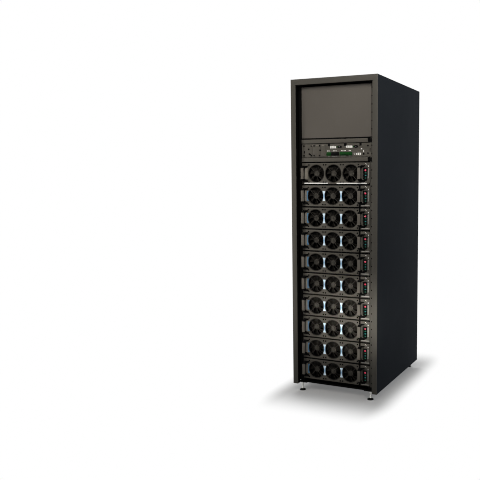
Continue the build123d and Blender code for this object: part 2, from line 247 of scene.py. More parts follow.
@dataclass(frozen=True)
class PowderCoat(Finish):
    """Baked powder paint: fine orange peel, a slight cloudiness and rubbed, dusty patches."""

    cloud: float = 0.06
    cloud_scale: float = 2.6
    speck_scale: float = 210.0
    speck_share: float = 0.35
    smear_scale: float = 24.0
    smear_stretch: Point = (1.0, 1.0, 0.35)
    smear_edge: Flat = (0.56, 0.86)
    smear_gloss: float = 0.16
    peel: float = 0.00005
    peel_scale: float = 780.0
    dust: float = 0.12
    dust_shade: float = 1.2
    dust_lift: float = 0.05

    def dress(self, graph: Graph) -> dict[str, Value]:
        """Clouds and dust in the colour, peel in the normal, hand marks in the gloss."""
        spot = graph.spot()
        cloud = graph.noise(spot, self.cloud_scale, 3.0)
        speck = graph.noise(spot, self.speck_scale)
        smear = graph.noise(graph.spot(self.smear_stretch), self.smear_scale, 5.0)
        peel = graph.noise(spot, self.peel_scale, 1.0)
        tone = cloud + (speck - 0.5) * self.speck_share
        colour = self.mottled(graph, tone, 1 - self.cloud, 1 + self.cloud)
        dusty = tuple(c + self.dust_lift for c in self.shade(self.dust_shade))
        dirt = smear.between(*self.smear_edge) * self.dust
        return {
            "Base Color": graph.mix(dirt, colour, dusty),
            "Roughness": smear * self.smear_gloss + (self.roughness - self.smear_gloss / 2),
            "Normal": graph.bump(peel, self.peel),
        }


@dataclass(frozen=True)
class Moulding(Finish):
    """Moulded plastic or rubber with a fine spark-eroded grain."""

    blend: Flat = (0.3, 0.7)
    grain: float = 900.0
    depth: float = 0.00004
    patch_scale: float = 38.0
    patch_shade: float = 0.12
    patch_gloss: float = 0.2

    def dress(self, graph: Graph) -> dict[str, Value]:
        """Grain in the normal and polished patches in the gloss."""
        spot = graph.spot()
        grain = graph.noise(spot, self.grain)
        patch = graph.noise(spot, self.patch_scale, 3.0)
        return {
            "Base Color": self.mottled(graph, patch, 1 - self.patch_shade, 1 + self.patch_shade),
            "Roughness": patch * self.patch_gloss + (self.roughness - self.patch_gloss / 2),
            "Normal": graph.bump(grain, self.depth),
        }


@dataclass(frozen=True)
class Metal(Finish):
    """Bare or plated metal, with a brushing along one direction or a zinc spangle."""

    brush: Point = (1.0, 1.0, 1.0)
    brush_scale: float = 420.0
    brush_depth: float = 0.00002
    patch_scale: float = 9.0
    spangle: float = 0.0
    spangle_share: float = 0.6
    shades: Flat = (0.8, 1.15)
    sheen: Flat = (0.25, 0.12)

    def dress(self, graph: Graph) -> dict[str, Value]:
        """Brush lines and spangle in the colour, the gloss and the normal."""
        lines = graph.noise(graph.spot(self.brush), self.brush_scale, 3.0)
        patch = graph.noise(graph.spot(), self.patch_scale, 4.0)
        tone = (lines + patch) * 0.5
        if self.spangle:
            inputs = {"Vector": graph.spot(), "Scale": self.spangle}
            cells = graph.out("ShaderNodeTexVoronoi", inputs, output="Color")
            grey = graph.out("ShaderNodeRGBToBW", {0: cells})
            tone = tone * (1 - self.spangle_share) + grey * self.spangle_share
        return {
            "Base Color": self.mottled(graph, tone, *self.shades),
            "Metallic": 1.0,
            "Roughness": tone * self.sheen[0] + (self.roughness - self.sheen[1]),
            "Normal": graph.bump(lines, self.brush_depth),
        }


@dataclass(frozen=True)
class Lamp(Finish):
    """A small lit lens: bright in its middle patches, tinted plastic round them."""

    blend: Flat = (0.3, 0.7)
    glow: float = 1.0
    coat: float = 0.6
    patch_scale: float = 400.0
    dim: float = 0.75

    def dress(self, graph: Graph) -> dict[str, Value]:
        """Light of the lens's own colour, a little uneven."""
        patch = graph.noise(graph.spot(), self.patch_scale)
        colour = self.mottled(graph, patch, self.dim, 1.0)
        return {
            "Base Color": colour,
            "Emission Color": colour,
            "Emission Strength": self.glow,
            "Coat Weight": self.coat,
        }


@dataclass(frozen=True)
class WaistedStrip(Finish):
    """Blue strip with painted glow, paler towards its two wide ends by the piece's "end" value."""

    blend: Flat = (0.05, 0.75)
    pale: Point = (0.75, 0.87, 0.94)
    # Emission on a part that is no lamp: painted light.
    glow: float = 0.22
    coat: float = 0.3
    brush: Point = (6.0, 1.0, 0.3)
    brush_scale: float = 160.0
    brush_share: float = 0.25
    sheen: Flat = (0.15, 0.07)

    def dress(self, graph: Graph) -> dict[str, Value]:
        """Pale ends and a blue waist, with brushing along the strip."""
        end = graph.out("ShaderNodeAttribute", None, {"attribute_name": "end"}, "Fac")
        lines = graph.noise(graph.spot(self.brush), self.brush_scale)
        share = (end + (lines - 0.5) * self.brush_share).between(*self.blend)
        colour = graph.mix(share, self.colour, self.pale)
        return {
            "Base Color": colour,
            "Emission Color": colour,
            "Roughness": lines * self.sheen[0] + (self.roughness - self.sheen[1]),
            "Emission Strength": self.glow,
            "Coat Weight": self.coat,
        }


FRAME_PAINT = PowderCoat("frame_paint", srgb(79, 77, 72), 0.46)
PANEL_PAINT = PowderCoat("panel_paint", srgb(94, 90, 85), 0.5, cloud=0.04)
SIDE_PAINT = PowderCoat("side_paint", srgb(40, 43, 47), 0.6, 0.003, dust=0.05)
MODULE_PAINT = PowderCoat("module_paint", srgb(86, 83, 77), 0.44)
# Black lining paint, also laid as painted shade in gaps, seams, holes and louvre mouths.
LINING_AND_SHADE_PAINT = PowderCoat("lining_and_shade_paint", srgb(7, 7, 7), 0.62, 0.03, dust=0.02)
HANDLE_PAINT = PowderCoat("handle_paint", srgb(98, 93, 86), 0.36, 0.2)
# Lighter paint of the card ledges, also laid as a painted highlight beside the left handle.
STRIP_PAINT = PowderCoat("strip_paint", srgb(122, 117, 108), 0.36, 0.2)
# Pale paint of the latch, also laid as a painted highlight strip beside the signal window.
PALE_PAINT = PowderCoat("pale_paint", srgb(156, 154, 149), 0.4, 0.2, dust=0.05)
BLACK_MOULDING = Moulding("black_moulding", srgb(7, 7, 7), 0.5, 0.03)
ROTOR_MOULDING = Moulding("rotor_moulding", srgb(37, 35, 32), 0.45, 0.05)
HUB_MOULDING = Moulding("hub_moulding", srgb(80, 77, 71), 0.5, 0.1)
GUARD_MOULDING = Moulding("guard_moulding", srgb(58, 55, 51), 0.42, 0.08)
TERMINAL_GREEN = Moulding("terminal_green", srgb(18, 66, 24), 0.5, 0.06)
WINDOW_TINT = Moulding("window_tint", srgb(5, 13, 10), 0.25, 0.06, depth=0.00001)
RUBBER = Moulding("foot_rubber", srgb(16, 16, 16), 0.75, 0.05, grain=420.0, depth=0.0001)
RUNNER_STEEL = Metal("runner_steel", srgb(150, 152, 155), 0.42, spangle=60.0)
ZINC = Metal("bright_zinc", srgb(226, 226, 222), 0.3, brush=(1.0, 1.0, 8.0))
BRIGHT_BAR = PowderCoat("bright_bar", srgb(244, 244, 242), 0.3, cloud=0.03, dust=0.1)
WHITE_PRINT = PowderCoat("white_print", srgb(240, 240, 236), 0.5, cloud=0.05, dust=0.0)
DARK_SCREW = Metal("dark_screw", srgb(40, 38, 36), 0.4)
BLACK_SCREW = Moulding("black_screw", srgb(6, 6, 6), 0.45, 0.03)
RED_LAMP = Lamp("red_lamp", srgb(214, 54, 84), 0.3, glow=0.65)
GREEN_LAMP = Lamp("green_lamp", srgb(8, 92, 70), 0.3, glow=0.4)
CYAN_LAMP = Lamp("cyan_lamp", srgb(26, 122, 122), 0.3, glow=0.4)
# Both blue strips glow though they are no lamps: painted light.
BLUE_STRIP = WaistedStrip("blue_strip", srgb(132, 168, 198), 0.36, pale=srgb(210, 230, 244))
# The end piece's darker blue is painted shade of the left handle.
SHADED_BLUE_END = WaistedStrip("shaded_blue_end", srgb(66, 100, 130), 0.36, pale=srgb(84, 122, 154), glow=0.06)


# ------------ flat outlines


def arc(centre: Flat, radius: float, start: float, end: float, steps: int) -> list[Flat]:
    """Points along an arc, angles in degrees."""
    places = (math.radians(start + (end - start) * i / steps) for i in range(steps + 1))
    return [(centre[0] + radius * math.cos(a), centre[1] + radius * math.sin(a)) for a in places]


def circle(centre: Flat, radius: float, sides: int = 48) -> list[Flat]:
    """A counter-clockwise circle."""
    return arc(centre, radius, 0, 360, sides)[:-1]


def rectangle(low: Flat, high: Flat, radius: float = 0.0, steps: int = 3) -> list[Flat]:
    """A counter-clockwise rectangle, with rounded corners where a radius is given."""
    (left, base), (right, top) = low, high
    corners = [(left, base), (right, base), (right, top), (left, top)]
    return rounded(corners, radius, steps) if radius else corners


def rounded(
    corners: Loop, radius: float | Sequence[float], steps: int = 4
) -> list[Flat]:
    """An outline with its corners rounded.

    Args:
        corners: The sharp corners in order.
        radius: One radius, or one for each corner.
        steps: Straight pieces in each arc.

    Returns:
        The rounded outline.
    """
    outline: list[Flat] = []
    count = len(corners)
    for i in range(count):
        size = radius if isinstance(radius, (int, float)) else radius[i]
        before, corner, after = (Vector(corners[j % count]) for j in (i - 1, i, i + 1))
        back, ahead = (before - corner).normalized(), (after - corner).normalized()
        bend = back.angle(ahead)
        if size <= 0 or bend > math.pi - 0.01:
            outline.append(tuple(corner))
            continue
        reach = size / math.tan(bend / 2)
        middle = corner + (back + ahead).normalized() * size / math.sin(bend / 2)
        first, last = corner + back * reach - middle, corner + ahead * reach - middle
        start = math.atan2(first.y, first.x)
        turn = (math.atan2(last.y, last.x) - start + math.pi) % math.tau - math.pi
        for k in range(steps + 1):
            angle = start + turn * k / steps
            outline.append(
                (middle.x + size * math.cos(angle), middle.y + size * math.sin(angle))
            )
    return outline


def inset(loop: Loop, distance: float) -> list[Flat]:
    """A loop moved to its left, which is inwards on a counter-clockwise one."""
    if not distance:
        return list(loop)
    moved = []
    count = len(loop)
    for i in range(count):
        before, here, after = (Vector(loop[j % count]) for j in (i - 1, i, i + 1))
        one, two = (here - before).normalized(), (after - here).normalized()
        left, right = Vector((-one.y, one.x)), Vector((-two.y, two.x))
        shift = (left + right) * distance / max(0.3, 1 + left.dot(right))
        moved.append((here.x + shift.x, here.y + shift.y))
    return moved


class Axis(Enum):
    """The direction in which a plate is thick or a turned piece has its axis."""

    X = 0
    Y = 1
    Z = 2

    def place(self, across: float, up: float, along: float) -> Point:
        """A point from its place in the outline and along the axis."""
        if self is Axis.X:
            return (along, across, up)
        if self is Axis.Y:
            return (across, along, up)
        return (across, up, along)


# ------------ meshes


@dataclass(frozen=True)
class Block:
    """A box: two corners that count from its place, radii of its edges and corners, finish."""

    low: Point
    high: Point
    radius: float
    paint: int = 0
    corner: float = 0.0


@dataclass
class Shape:
    """Closed solids in the making, in millimetres, with a finish number for each face."""

    points: list[Point] = field(default_factory=list)
    faces: list[tuple[int, ...]] = field(default_factory=list)
    smooth: list[bool] = field(default_factory=list)
    paint: list[int] = field(default_factory=list)

    def _ring(self, places: Iterable[Point]) -> list[int]:
        """Adds points and returns their numbers."""
        first = len(self.points)
        self.points.extend(places)
        return list(range(first, len(self.points)))

    def _face(self, corners: Sequence[int], smooth: bool, paint: int) -> None:
        """Adds one face."""
        self.faces.append(tuple(corners))
        self.smooth.append(smooth)
        self.paint.append(paint)

    def _band(
        self, one: list[int], two: list[int], paint: int | Sequence[int], long_flat: bool = False
    ) -> None:
        """Joins two rings with quads; long straight ones stay flat where asked."""
        count = len(one)
        for i in range(count):
            j = (i + 1) % count
            edge = Vector(self.points[one[i]]) - Vector(self.points[one[j]])
            smooth = not (long_flat and edge.length > LONG_SIDE)
            colour = paint if isinstance(paint, int) else paint[i]
            self._face((one[i], one[j], two[j], two[i]), smooth, colour)

    def _cap(self, rings: Sequence[list[int]], loops: Sequence[Loop], paint: int) -> None:
        """Fills the flat area between an outline and its holes."""
        flat = [i for ring in rings for i in ring]
        outlines = [[Vector((u, v, 0)) for u, v in loop] for loop in loops]
        for triangle in tessellate_polygon(outlines):
            self._face([flat[i] for i in triangle], False, paint)

    def plate(
        self,
        outline: Loop,
        span: Flat,
        axis: Axis = Axis.Y,
        holes: Sequence[Loop] = (),
        radius: float = 0.8,
        steps: int = 2,
        paint: int = 0,
        wall: int | None = None,
    ) -> Shape:
        """Adds a plate with rounded edges.

        Args:
            outline: Counter-clockwise outline.
            span: Where it starts and ends along the axis.
            axis: The direction of its thickness.
            holes: Counter-clockwise outlines of what is cut through it.
            radius: Radius of every edge.
            steps: Straight pieces in each edge's rounding.
            paint: Finish number of its faces and outer wall.
            wall: Finish number of the walls of its holes.

        Returns:
            This shape.
        """
        near, far = span
        turns = [math.pi / 2 * k / steps for k in range(steps + 1)] if radius else [math.pi / 2]
        ends = [(radius * (1 - math.sin(t)), radius * (1 - math.cos(t))) for t in turns]
        stations = [(cut, near + dip) for cut, dip in ends]
        stations += [(cut, far - dip) for cut, dip in reversed(ends)]
        loops = [list(outline)] + [list(reversed(hole)) for hole in holes]
        first, last, first_loops, last_loops = [], [], [], []
        for number, loop in enumerate(loops):
            colour = paint if number == 0 or wall is None else wall
            outlines = [inset(loop, cut) for cut, _ in stations]
            rings = [
                self._ring(axis.place(u, v, along) for u, v in ring)
                for ring, (_, along) in zip(outlines, stations)
            ]
            for i in range(len(rings) - 1):
                self._band(rings[i], rings[i + 1], colour, long_flat=i == len(ends) - 1)
            first.append(rings[0])
            last.append(rings[-1])
            first_loops.append(outlines[0])
            last_loops.append(outlines[-1])
        self._cap(first, first_loops, paint)
        self._cap(last, last_loops, paint)
        return self

    def slab(
        self, low: Point, high: Point, radius: float = 0.8, paint: int = 0, corner: float = 0.0
    ) -> Shape:
        """Adds a block with rounded edges, thick along Y."""
        outline = rectangle((low[0], low[2]), (high[0], high[2]), max(corner, radius), 2)
        return self.plate(outline, (low[1], high[1]), radius=radius, paint=paint)

    def blocks(self, blocks: Iterable[Block], place: Point) -> Shape:
        """Adds the blocks of a table, their corners counted from a place."""
        for block in blocks:
            low, high = (tuple(map(sum, zip(place, c))) for c in (block.low, block.high))
            self.slab(low, high, block.radius, block.paint, block.corner)
        return self

    def turned(
        self,
        profile: Loop,
        centre: Flat,
        axis: Axis = Axis.Y,
        sides: int = 40,
        paint: int | Sequence[int] = 0,
        start: float = 0.0,
    ) -> Shape:
        """Adds a turned solid.

        Args:
            profile: Radius and place along the axis; a radius of 0 closes an end.
            centre: Where the axis crosses the outline plane.
            axis: The direction of the axis.
            sides: Straight pieces round it.
            paint: Finish number, or one for each stretch of the profile.
            start: Where on the axis the profile counts from.

        Returns:
            This shape.
        """
        rings = []
        for radius, along in profile:
            loop = circle(centre, radius, sides) if radius > 0 else [centre]
            rings.append(self._ring(axis.place(u, v, start + along) for u, v in loop))
        closed = len(rings[0]) > 1
        for i in range(len(rings) if closed else len(rings) - 1):
            one, two = rings[i], rings[(i + 1) % len(rings)]
            colour = paint if isinstance(paint, int) else paint[i]
            if len(one) == 1 or len(two) == 1:
                tip, rim = (one, two) if len(one) == 1 else (two, one)
                for k in range(sides):
                    self._face((tip[0], rim[k], rim[(k + 1) % sides]), True, colour)
            else:
                self._band(one, two, colour)
        return self

    def loft(self, rings: Sequence[Sequence[Point]], paint: int | Sequence[int] = 0) -> Shape:
        """Adds a solid through closed sections, with a finish number for each of their sides."""
        numbers = [self._ring(ring) for ring in rings]
        for one, two in zip(numbers, numbers[1:]):
            self._band(one, two, paint)
        colour = paint if isinstance(paint, int) else paint[0]
        for ring, places in ((numbers[0], rings[0]), (numbers[-1], rings[-1])):
            for triangle in tessellate_polygon([[Vector(p) for p in places]]):
                self._face([ring[i] for i in triangle], False, colour)
        return self

    def mesh(self, name: str, finishes: Sequence[Finish]) -> Mesh:
        """The shape as a Blender mesh in metres, with its faces turned outwards."""
        mesh = bpy.data.meshes.new(name)
        mesh.from_pydata([[c * MM for c in p] for p in self.points], [], self.faces)
        mesh.polygons.foreach_set("use_smooth", self.smooth)
        mesh.polygons.foreach_set("material_index", self.paint)
        for finish in finishes:
            mesh.materials.append(finish.material())
        build = bmesh.new()
        build.from_mesh(mesh)
        bmesh.ops.recalc_face_normals(build, faces=build.faces)
        build.to_mesh(mesh)
        build.free()
        mesh.set_sharp_from_angle(angle=SHARP)
        mesh.update()
        return mesh


def linked(name: str, data: bpy.types.ID) -> bpy.types.Object:
    """A new object in the scene."""
    piece = bpy.data.objects.new(name, data)
    bpy.context.scene.collection.objects.link(piece)
    return piece


def merged(name: str, meshes: Sequence[Mesh]) -> Mesh:
    """One mesh from several, with each one's finishes kept."""
    work = [linked("part", mesh) for mesh in meshes]
    with bpy.context.temp_override(active_object=work[0], selected_editable_objects=work):
        bpy.ops.object.join()
    joined = work[0].data
    bpy.data.objects.remove(work[0])
    joined.name = name
    return joined


def shifted(mesh: Mesh, name: str, x: float = 0, y: float = 0, z: float = 0) -> Mesh:
    """A copy of a mesh, moved by millimetres."""
    copy = mesh.copy()
    copy.name = name
    copy.transform(Matrix.Translation(Vector((x, y, z)) * MM))
    return copy


def spots(name: str, places: Sequence[Point], sizes: Sequence[Point] = ()) -> Mesh:
    """Loose points for a node tree to work on, with a size for each where given."""
    mesh = bpy.data.meshes.new(name)
    mesh.from_pydata([[c * MM for c in p] for p in places], [], [])
    if sizes:
        layer = mesh.attributes.new("size", "FLOAT_VECTOR", "POINT")
        layer.data.foreach_set("vector", [c * MM for size in sizes for c in size])
    return mesh


# ------------ Geometry Nodes


class Tree(Graph):
    """A Geometry Nodes tree with named inputs, made for one kind of repeated piece."""

    KINDS = {int: "NodeSocketInt", float: "NodeSocketFloat", tuple: "NodeSocketVector"}
    WELD = 0.00001

    def __init__(self, name: str, **sizes: float | int | tuple) -> None:
        """Starts a tree.

        Args:
            name: The tree's name.
            **sizes: Its inputs with their usual values, in metres and radians.
        """
        super().__init__(bpy.data.node_groups.new(name, "GeometryNodeTree"))
        face = self.tree.interface
        face.new_socket("Geometry", in_out="INPUT", socket_type="NodeSocketGeometry")
        face.new_socket("Geometry", in_out="OUTPUT", socket_type="NodeSocketGeometry")
        self.keys: dict[str, str] = {}
        for label, value in sizes.items():
            kind = self.KINDS[type(value)]
            item = face.new_socket(label, in_out="INPUT", socket_type=kind)
            item.default_value = value
            self.keys[label] = item.identifier
        self.start = self.tree.nodes.new("NodeGroupInput")
        self.geometry = Sock(self, self.start.outputs["Geometry"])

    def size(self, label: str) -> Sock:
        """One of the tree's inputs."""
        return Sock(self, self.start.outputs[label])

    def vector(self, x: Value, y: Value, z: Value) -> Sock:
        """A vector from three values."""
        return self.out("ShaderNodeCombineXYZ", {0: x, 1: y, 2: z})

    def grid(self, columns: int, rows: int) -> tuple[Sock, Sock, Sock]:
        """A square sheet of size 1, and the places across it and up it."""
        inputs = {"Size X": 1.0, "Size Y": 1.0, "Vertices X": columns, "Vertices Y": rows}
        sheet = self.out("GeometryNodeMeshGrid", inputs)
        place = self.add("ShaderNodeSeparateXYZ", {0: self.out("GeometryNodeInputPosition")})
        return sheet, Sock(self, place.outputs[0]), Sock(self, place.outputs[1])

    def push(
        self, mesh: Sock, faces: Sock | None, depth: Value, way: Value = None
    ) -> tuple[Sock, Sock]:
        """Pushes faces out.

        Args:
            mesh: The mesh.
            faces: Which faces, or all.
            depth: How far.
            way: In which direction, or along their normals.

        Returns:
            The mesh and its new top.
        """
        inputs = {"Mesh": mesh, "Selection": faces, "Offset": way, "Offset Scale": depth}
        inputs["Individual"] = False
        node = self.add("GeometryNodeExtrudeMesh", inputs, {"mode": "FACES"})
        return Sock(self, node.outputs["Mesh"]), Sock(self, node.outputs["Top"])

    def shrink(self, mesh: Sock, faces: Sock, share: float) -> Sock:
        """Shrinks faces about their middle."""
        inputs = {"Geometry": mesh, "Selection": faces, "Scale": share}
        return self.out("GeometryNodeScaleElements", inputs, {"domain": "FACE"})

    def join(self, *parts: Sock) -> Sock:
        """Several geometries as one."""
        node = self.add("GeometryNodeJoinGeometry")
        for part in parts:
            self.tree.links.new(part.socket, node.inputs[0])
        return Sock(self, node.outputs[0])

    def close_back(self, solid: Sock, sheet: Sock) -> Sock:
        """Closes what was pushed out of a sheet with the sheet, turned round."""
        back = self.out("GeometryNodeFlipFaces", {"Mesh": sheet})
        inputs = {"Geometry": self.join(solid, back), "Distance": self.WELD}
        return self.out("GeometryNodeMergeByDistance", inputs)

    def bend(self, sheet: Sock, place: Sock, depth: Value, way: Value = None) -> Sock:
        """A sheet with its points at new places, made a solid of a depth."""
        bent = self.out("GeometryNodeSetPosition", {"Geometry": sheet, "Position": place})
        return self.close_back(self.push(bent, None, depth, way)[0], bent)

    def copies(self, points: Sock, piece: Sock, turn: Value = None, scale: Value = None) -> Sock:
        """A copy of a piece on each point."""
        inputs = {"Points": points, "Instance": piece, "Rotation": turn, "Scale": scale}
        return self.out("GeometryNodeInstanceOnPoints", inputs)

    def wheel(self, piece: Sock, count: Sock, axis: Axis, first: Value = 0.0) -> Sock:
        """Copies of a piece, turned evenly round an axis from a first angle."""
        inputs = {"Count": count, "Offset": (0.0, 0.0, 0.0)}
        points = self.out("GeometryNodeMeshLine", inputs)
        turn = self.out("GeometryNodeInputIndex") * (math.tau / count) + first
        return self.copies(points, piece, self.vector(*axis.place(0.0, 0.0, turn)))

    def circle(self, radius: Sock, steps: int) -> Sock:
        """A circle as a curve."""
        inputs = {"Resolution": steps, "Radius": radius}
        return self.out("GeometryNodeCurvePrimitiveCircle", inputs, {"mode": "RADIUS"})

    def sweep(self, path: Sock, section: Sock) -> Sock:
        """A closed solid along a curve."""
        inputs = {"Curve": path, "Profile Curve": section, "Fill Caps": True}
        return self.out("GeometryNodeCurveToMesh", inputs)

    def turned(self, mesh: Sock, turn: Value) -> Sock:
        """The mesh turned about the origin."""
        return self.out("GeometryNodeTransform", {"Geometry": mesh, "Rotation": turn})

    def close(self, geometry: Sock, finish: Finish) -> None:
        """Ends the tree with real geometry in one finish."""
        real = self.out("GeometryNodeRealizeInstances", {"Geometry": geometry})
        inputs = {"Geometry": real, "Material": finish.material()}
        dressed = self.out("GeometryNodeSetMaterial", inputs)
        end = self.tree.nodes.new("NodeGroupOutput")
        self.feed(end.inputs[0], dressed)

    def run(self, mesh: Mesh, name: str, **sizes: float | int | tuple) -> Mesh:
        """Runs the tree on a mesh.

        Args:
            mesh: What goes in, often loose points.
            name: The name of the mesh that comes out.
            **sizes: Inputs that differ from the tree's usual values.

        Returns:
            A plain mesh.
        """
        work = linked("work", mesh)
        step = work.modifiers.new("build", "NODES")
        step.node_group = self.tree
        for label, value in sizes.items():
            step[self.keys[label]] = value
        bpy.context.view_layer.update()
        graph = bpy.context.evaluated_depsgraph_get()
        made = bpy.data.meshes.new_from_object(work.evaluated_get(graph), depsgraph=graph)
        made.name = name
        bpy.data.objects.remove(work)
        return made


class ScrewTree(Tree):
    """Socket-head screws or rivets on points, their heads facing one way."""

    PUSHES = ((0.8, None), (0.2, 0.82), (0.0, 0.62), (-0.7, None))

    def __init__(self, finish: Finish) -> None:
        """Pushes a disc out, in and down again, by shares of its height and its width."""
        super().__init__(
            "screws_" + finish.name, radius=0.003, height=0.002, sides=14, turn=math.pi / 2
        )
        inputs = {"Vertices": self.size("sides"), "Radius": self.size("radius")}
        disc = self.out("GeometryNodeMeshCircle", inputs, {"fill_type": "NGON"})
        head, top = disc, None
        for depth, share in self.PUSHES:
            head, top = self.push(head, top, self.size("height") * depth)
            if share is not None:
                head = self.shrink(head, top, share)
        whole = self.turned(self.close_back(head, disc), self.vector(self.size("turn"), 0.0, 0.0))
        self.close(self.copies(self.geometry, whole), finish)


class MarkTree(Tree):
    """Thin chamfered plates on points, each as large as its point's "size"."""

    FRONT = (0.0, -1.0, 0.0)
    FACE_SHARE = 0.9

    def __init__(self, finish: Finish) -> None:
        """Builds a unit plate with a raised, smaller face."""
        super().__init__("marks_" + finish.name)
        unit = self.out("GeometryNodeMeshCube", {"Size": (1.0, 1.0, 1.0)})
        inputs = {0: self.out("GeometryNodeInputNormal"), 1: self.FRONT}
        facing = self.out("ShaderNodeVectorMath", inputs, {"operation": "DOT_PRODUCT"}, "Value")
        plate = self.shrink(unit, facing.between(0.5, 0.6), self.FACE_SHARE)
        settings = {"data_type": "FLOAT_VECTOR"}
        size = self.out("GeometryNodeInputNamedAttribute", {"Name": "size"}, settings)
        self.close(self.copies(self.geometry, plate, scale=size), finish)


class BladeTree(Tree):
    """Twisted, cambered blades round a fan's axis, which lies along Y."""

    def __init__(self, finish: Finish) -> None:
        """Bends a grid into a blade by rule, thickens it and repeats it round the axis."""
        super().__init__(
            "fan_blades",
            blades=7,
            root=0.019,
            tip=0.050,
            root_chord=0.026,
            tip_chord=0.041,
            root_pitch=0.9076,
            tip_pitch=0.4712,
            camber=0.0032,
            sweep=0.22,
            thickness=0.0014,
            middle=0.011,
        )
        size = self.size
        sheet, place, across = self.grid(7, 7)
        along = place + 0.5
        radius, chord, pitch = (
            size(first) + along * (size(last) - size(first))
            for first, last in (
                ("root", "tip"), ("root_chord", "tip_chord"), ("root_pitch", "tip_pitch")
            )
        )
        bow = (1 - across * across * 4) * size("camber")
        run = across * chord
        angle = (run * pitch.cosine() + bow * pitch.sine()) / radius + along * size("sweep")
        depth = size("middle") - run * pitch.sine() + bow * pitch.cosine()
        bent = self.vector(radius * angle.cosine(), depth, radius * angle.sine())
        blade = self.bend(sheet, bent, size("thickness"))
        self.close(self.wheel(blade, size("blades"), Axis.Y), finish)


class LouvreTree(Tree):
    """Pressed louvres on points: hoods that bulge out of the panel and open downwards."""

    END_SHARE = 0.035
    OUT = (0.0, 1.0, 0.0)

    def __init__(self, finish: Finish) -> None:
        """Bends a grid into one hood and repeats it."""
        super().__init__("louvres", length=0.46, height=0.012, proud=0.005, sheet=0.0012)
        size = self.size
        sheet, along, up = self.grid(25, 6)
        drop = 0.5 - up
        ends = (0.5 - along.distance()).between(0.0, self.END_SHARE)
        crown = (ends * (math.pi / 2)).sine()
        bulge = (drop * (math.pi / 2)).sine() * crown * (size("proud") - size("sheet"))
        bent = self.vector(along * size("length"), bulge, (0.5 - drop) * size("height"))
        hood = self.bend(sheet, bent, size("sheet"), self.OUT)
        self.close(self.copies(self.geometry, hood), finish)


class ThreadTree(Tree):
    """A screw thread wound round the stud at each point."""

    def __init__(self, finish: Finish) -> None:
        """Sweeps a small triangle along a helix."""
        super().__init__("stud_threads", radius=0.0052, pitch=0.0015, length=0.026, depth=0.0006)
        size = self.size
        inputs = {
            "Resolution": 14,
            "Rotations": size("length") / size("pitch"),
            "Start Radius": size("radius"),
            "End Radius": size("radius"),
            "Height": size("length"),
        }
        helix = self.out("GeometryNodeCurveSpiral", inputs)
        wound = self.sweep(helix, self.circle(size("depth"), 3))
        self.close(self.copies(self.geometry, wound), finish)


class GuardTree(Tree):
    """Fan guards on points: crossed bars between a boss and a rim, all of round wire."""

    def __init__(self, finish: Finish) -> None:
        """Makes bars as spokes of a wheel and sweeps them, the rim and the boss ring."""
        super().__init__(
            "fan_guards", spokes=4, boss=0.013, rim=0.0562, wire=0.0016, first=math.pi / 4
        )
        size = self.size
        start, end = (self.vector(size(label), 0.0, 0.0) for label in ("boss", "rim"))
        bar = self.out("GeometryNodeCurvePrimitiveLine", {"Start": start, "End": end})
        spokes = self.wheel(bar, size("spokes"), Axis.Z, size("first"))
        spokes = self.out("GeometryNodeRealizeInstances", {"Geometry": spokes})
        rings = [self.circle(size(label), 40) for label in ("rim", "boss")]
        wires = self.sweep(self.join(spokes, *rings), self.circle(size("wire"), 8))
        wires = self.turned(wires, (math.pi / 2, 0.0, 0.0))
        self.close(self.copies(self.geometry, wires), finish)


# ------------ pieces


class Slot(Enum):
    """The record's material slots."""

    FRAME = "frame_paint"
    SIDE = "side_paint"
    MODULE = "module_paint"
    DARK = "dark_steel"
    RUNNER = "runner_steel"
    ROTOR = "rotor_plastic"
    GREEN = "terminal_green"
    BLACK = "black_plastic"
    BRIGHT = "bright_steel"


def fit(
    name: str, mesh: Mesh, slot: Slot, replaces: Sequence[str] = (), body: str = CABINET
) -> None:
    """Puts a finished mesh into the scene as a piece.

    Args:
        name: The piece's name.
        mesh: Its mesh, already in place.
        slot: The record's slot that its finish belongs to; not used.
        replaces: CAD nodes that it stands for.
        body: The CAD body that it moves with.
    """
    piece = linked(name, mesh)
    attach(piece, body)
    if replaces:
        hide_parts(*replaces)
    mesh.calc_loop_triangles()
    LOG.info("%s: %d triangles on %s", name, len(mesh.loop_triangles), body)


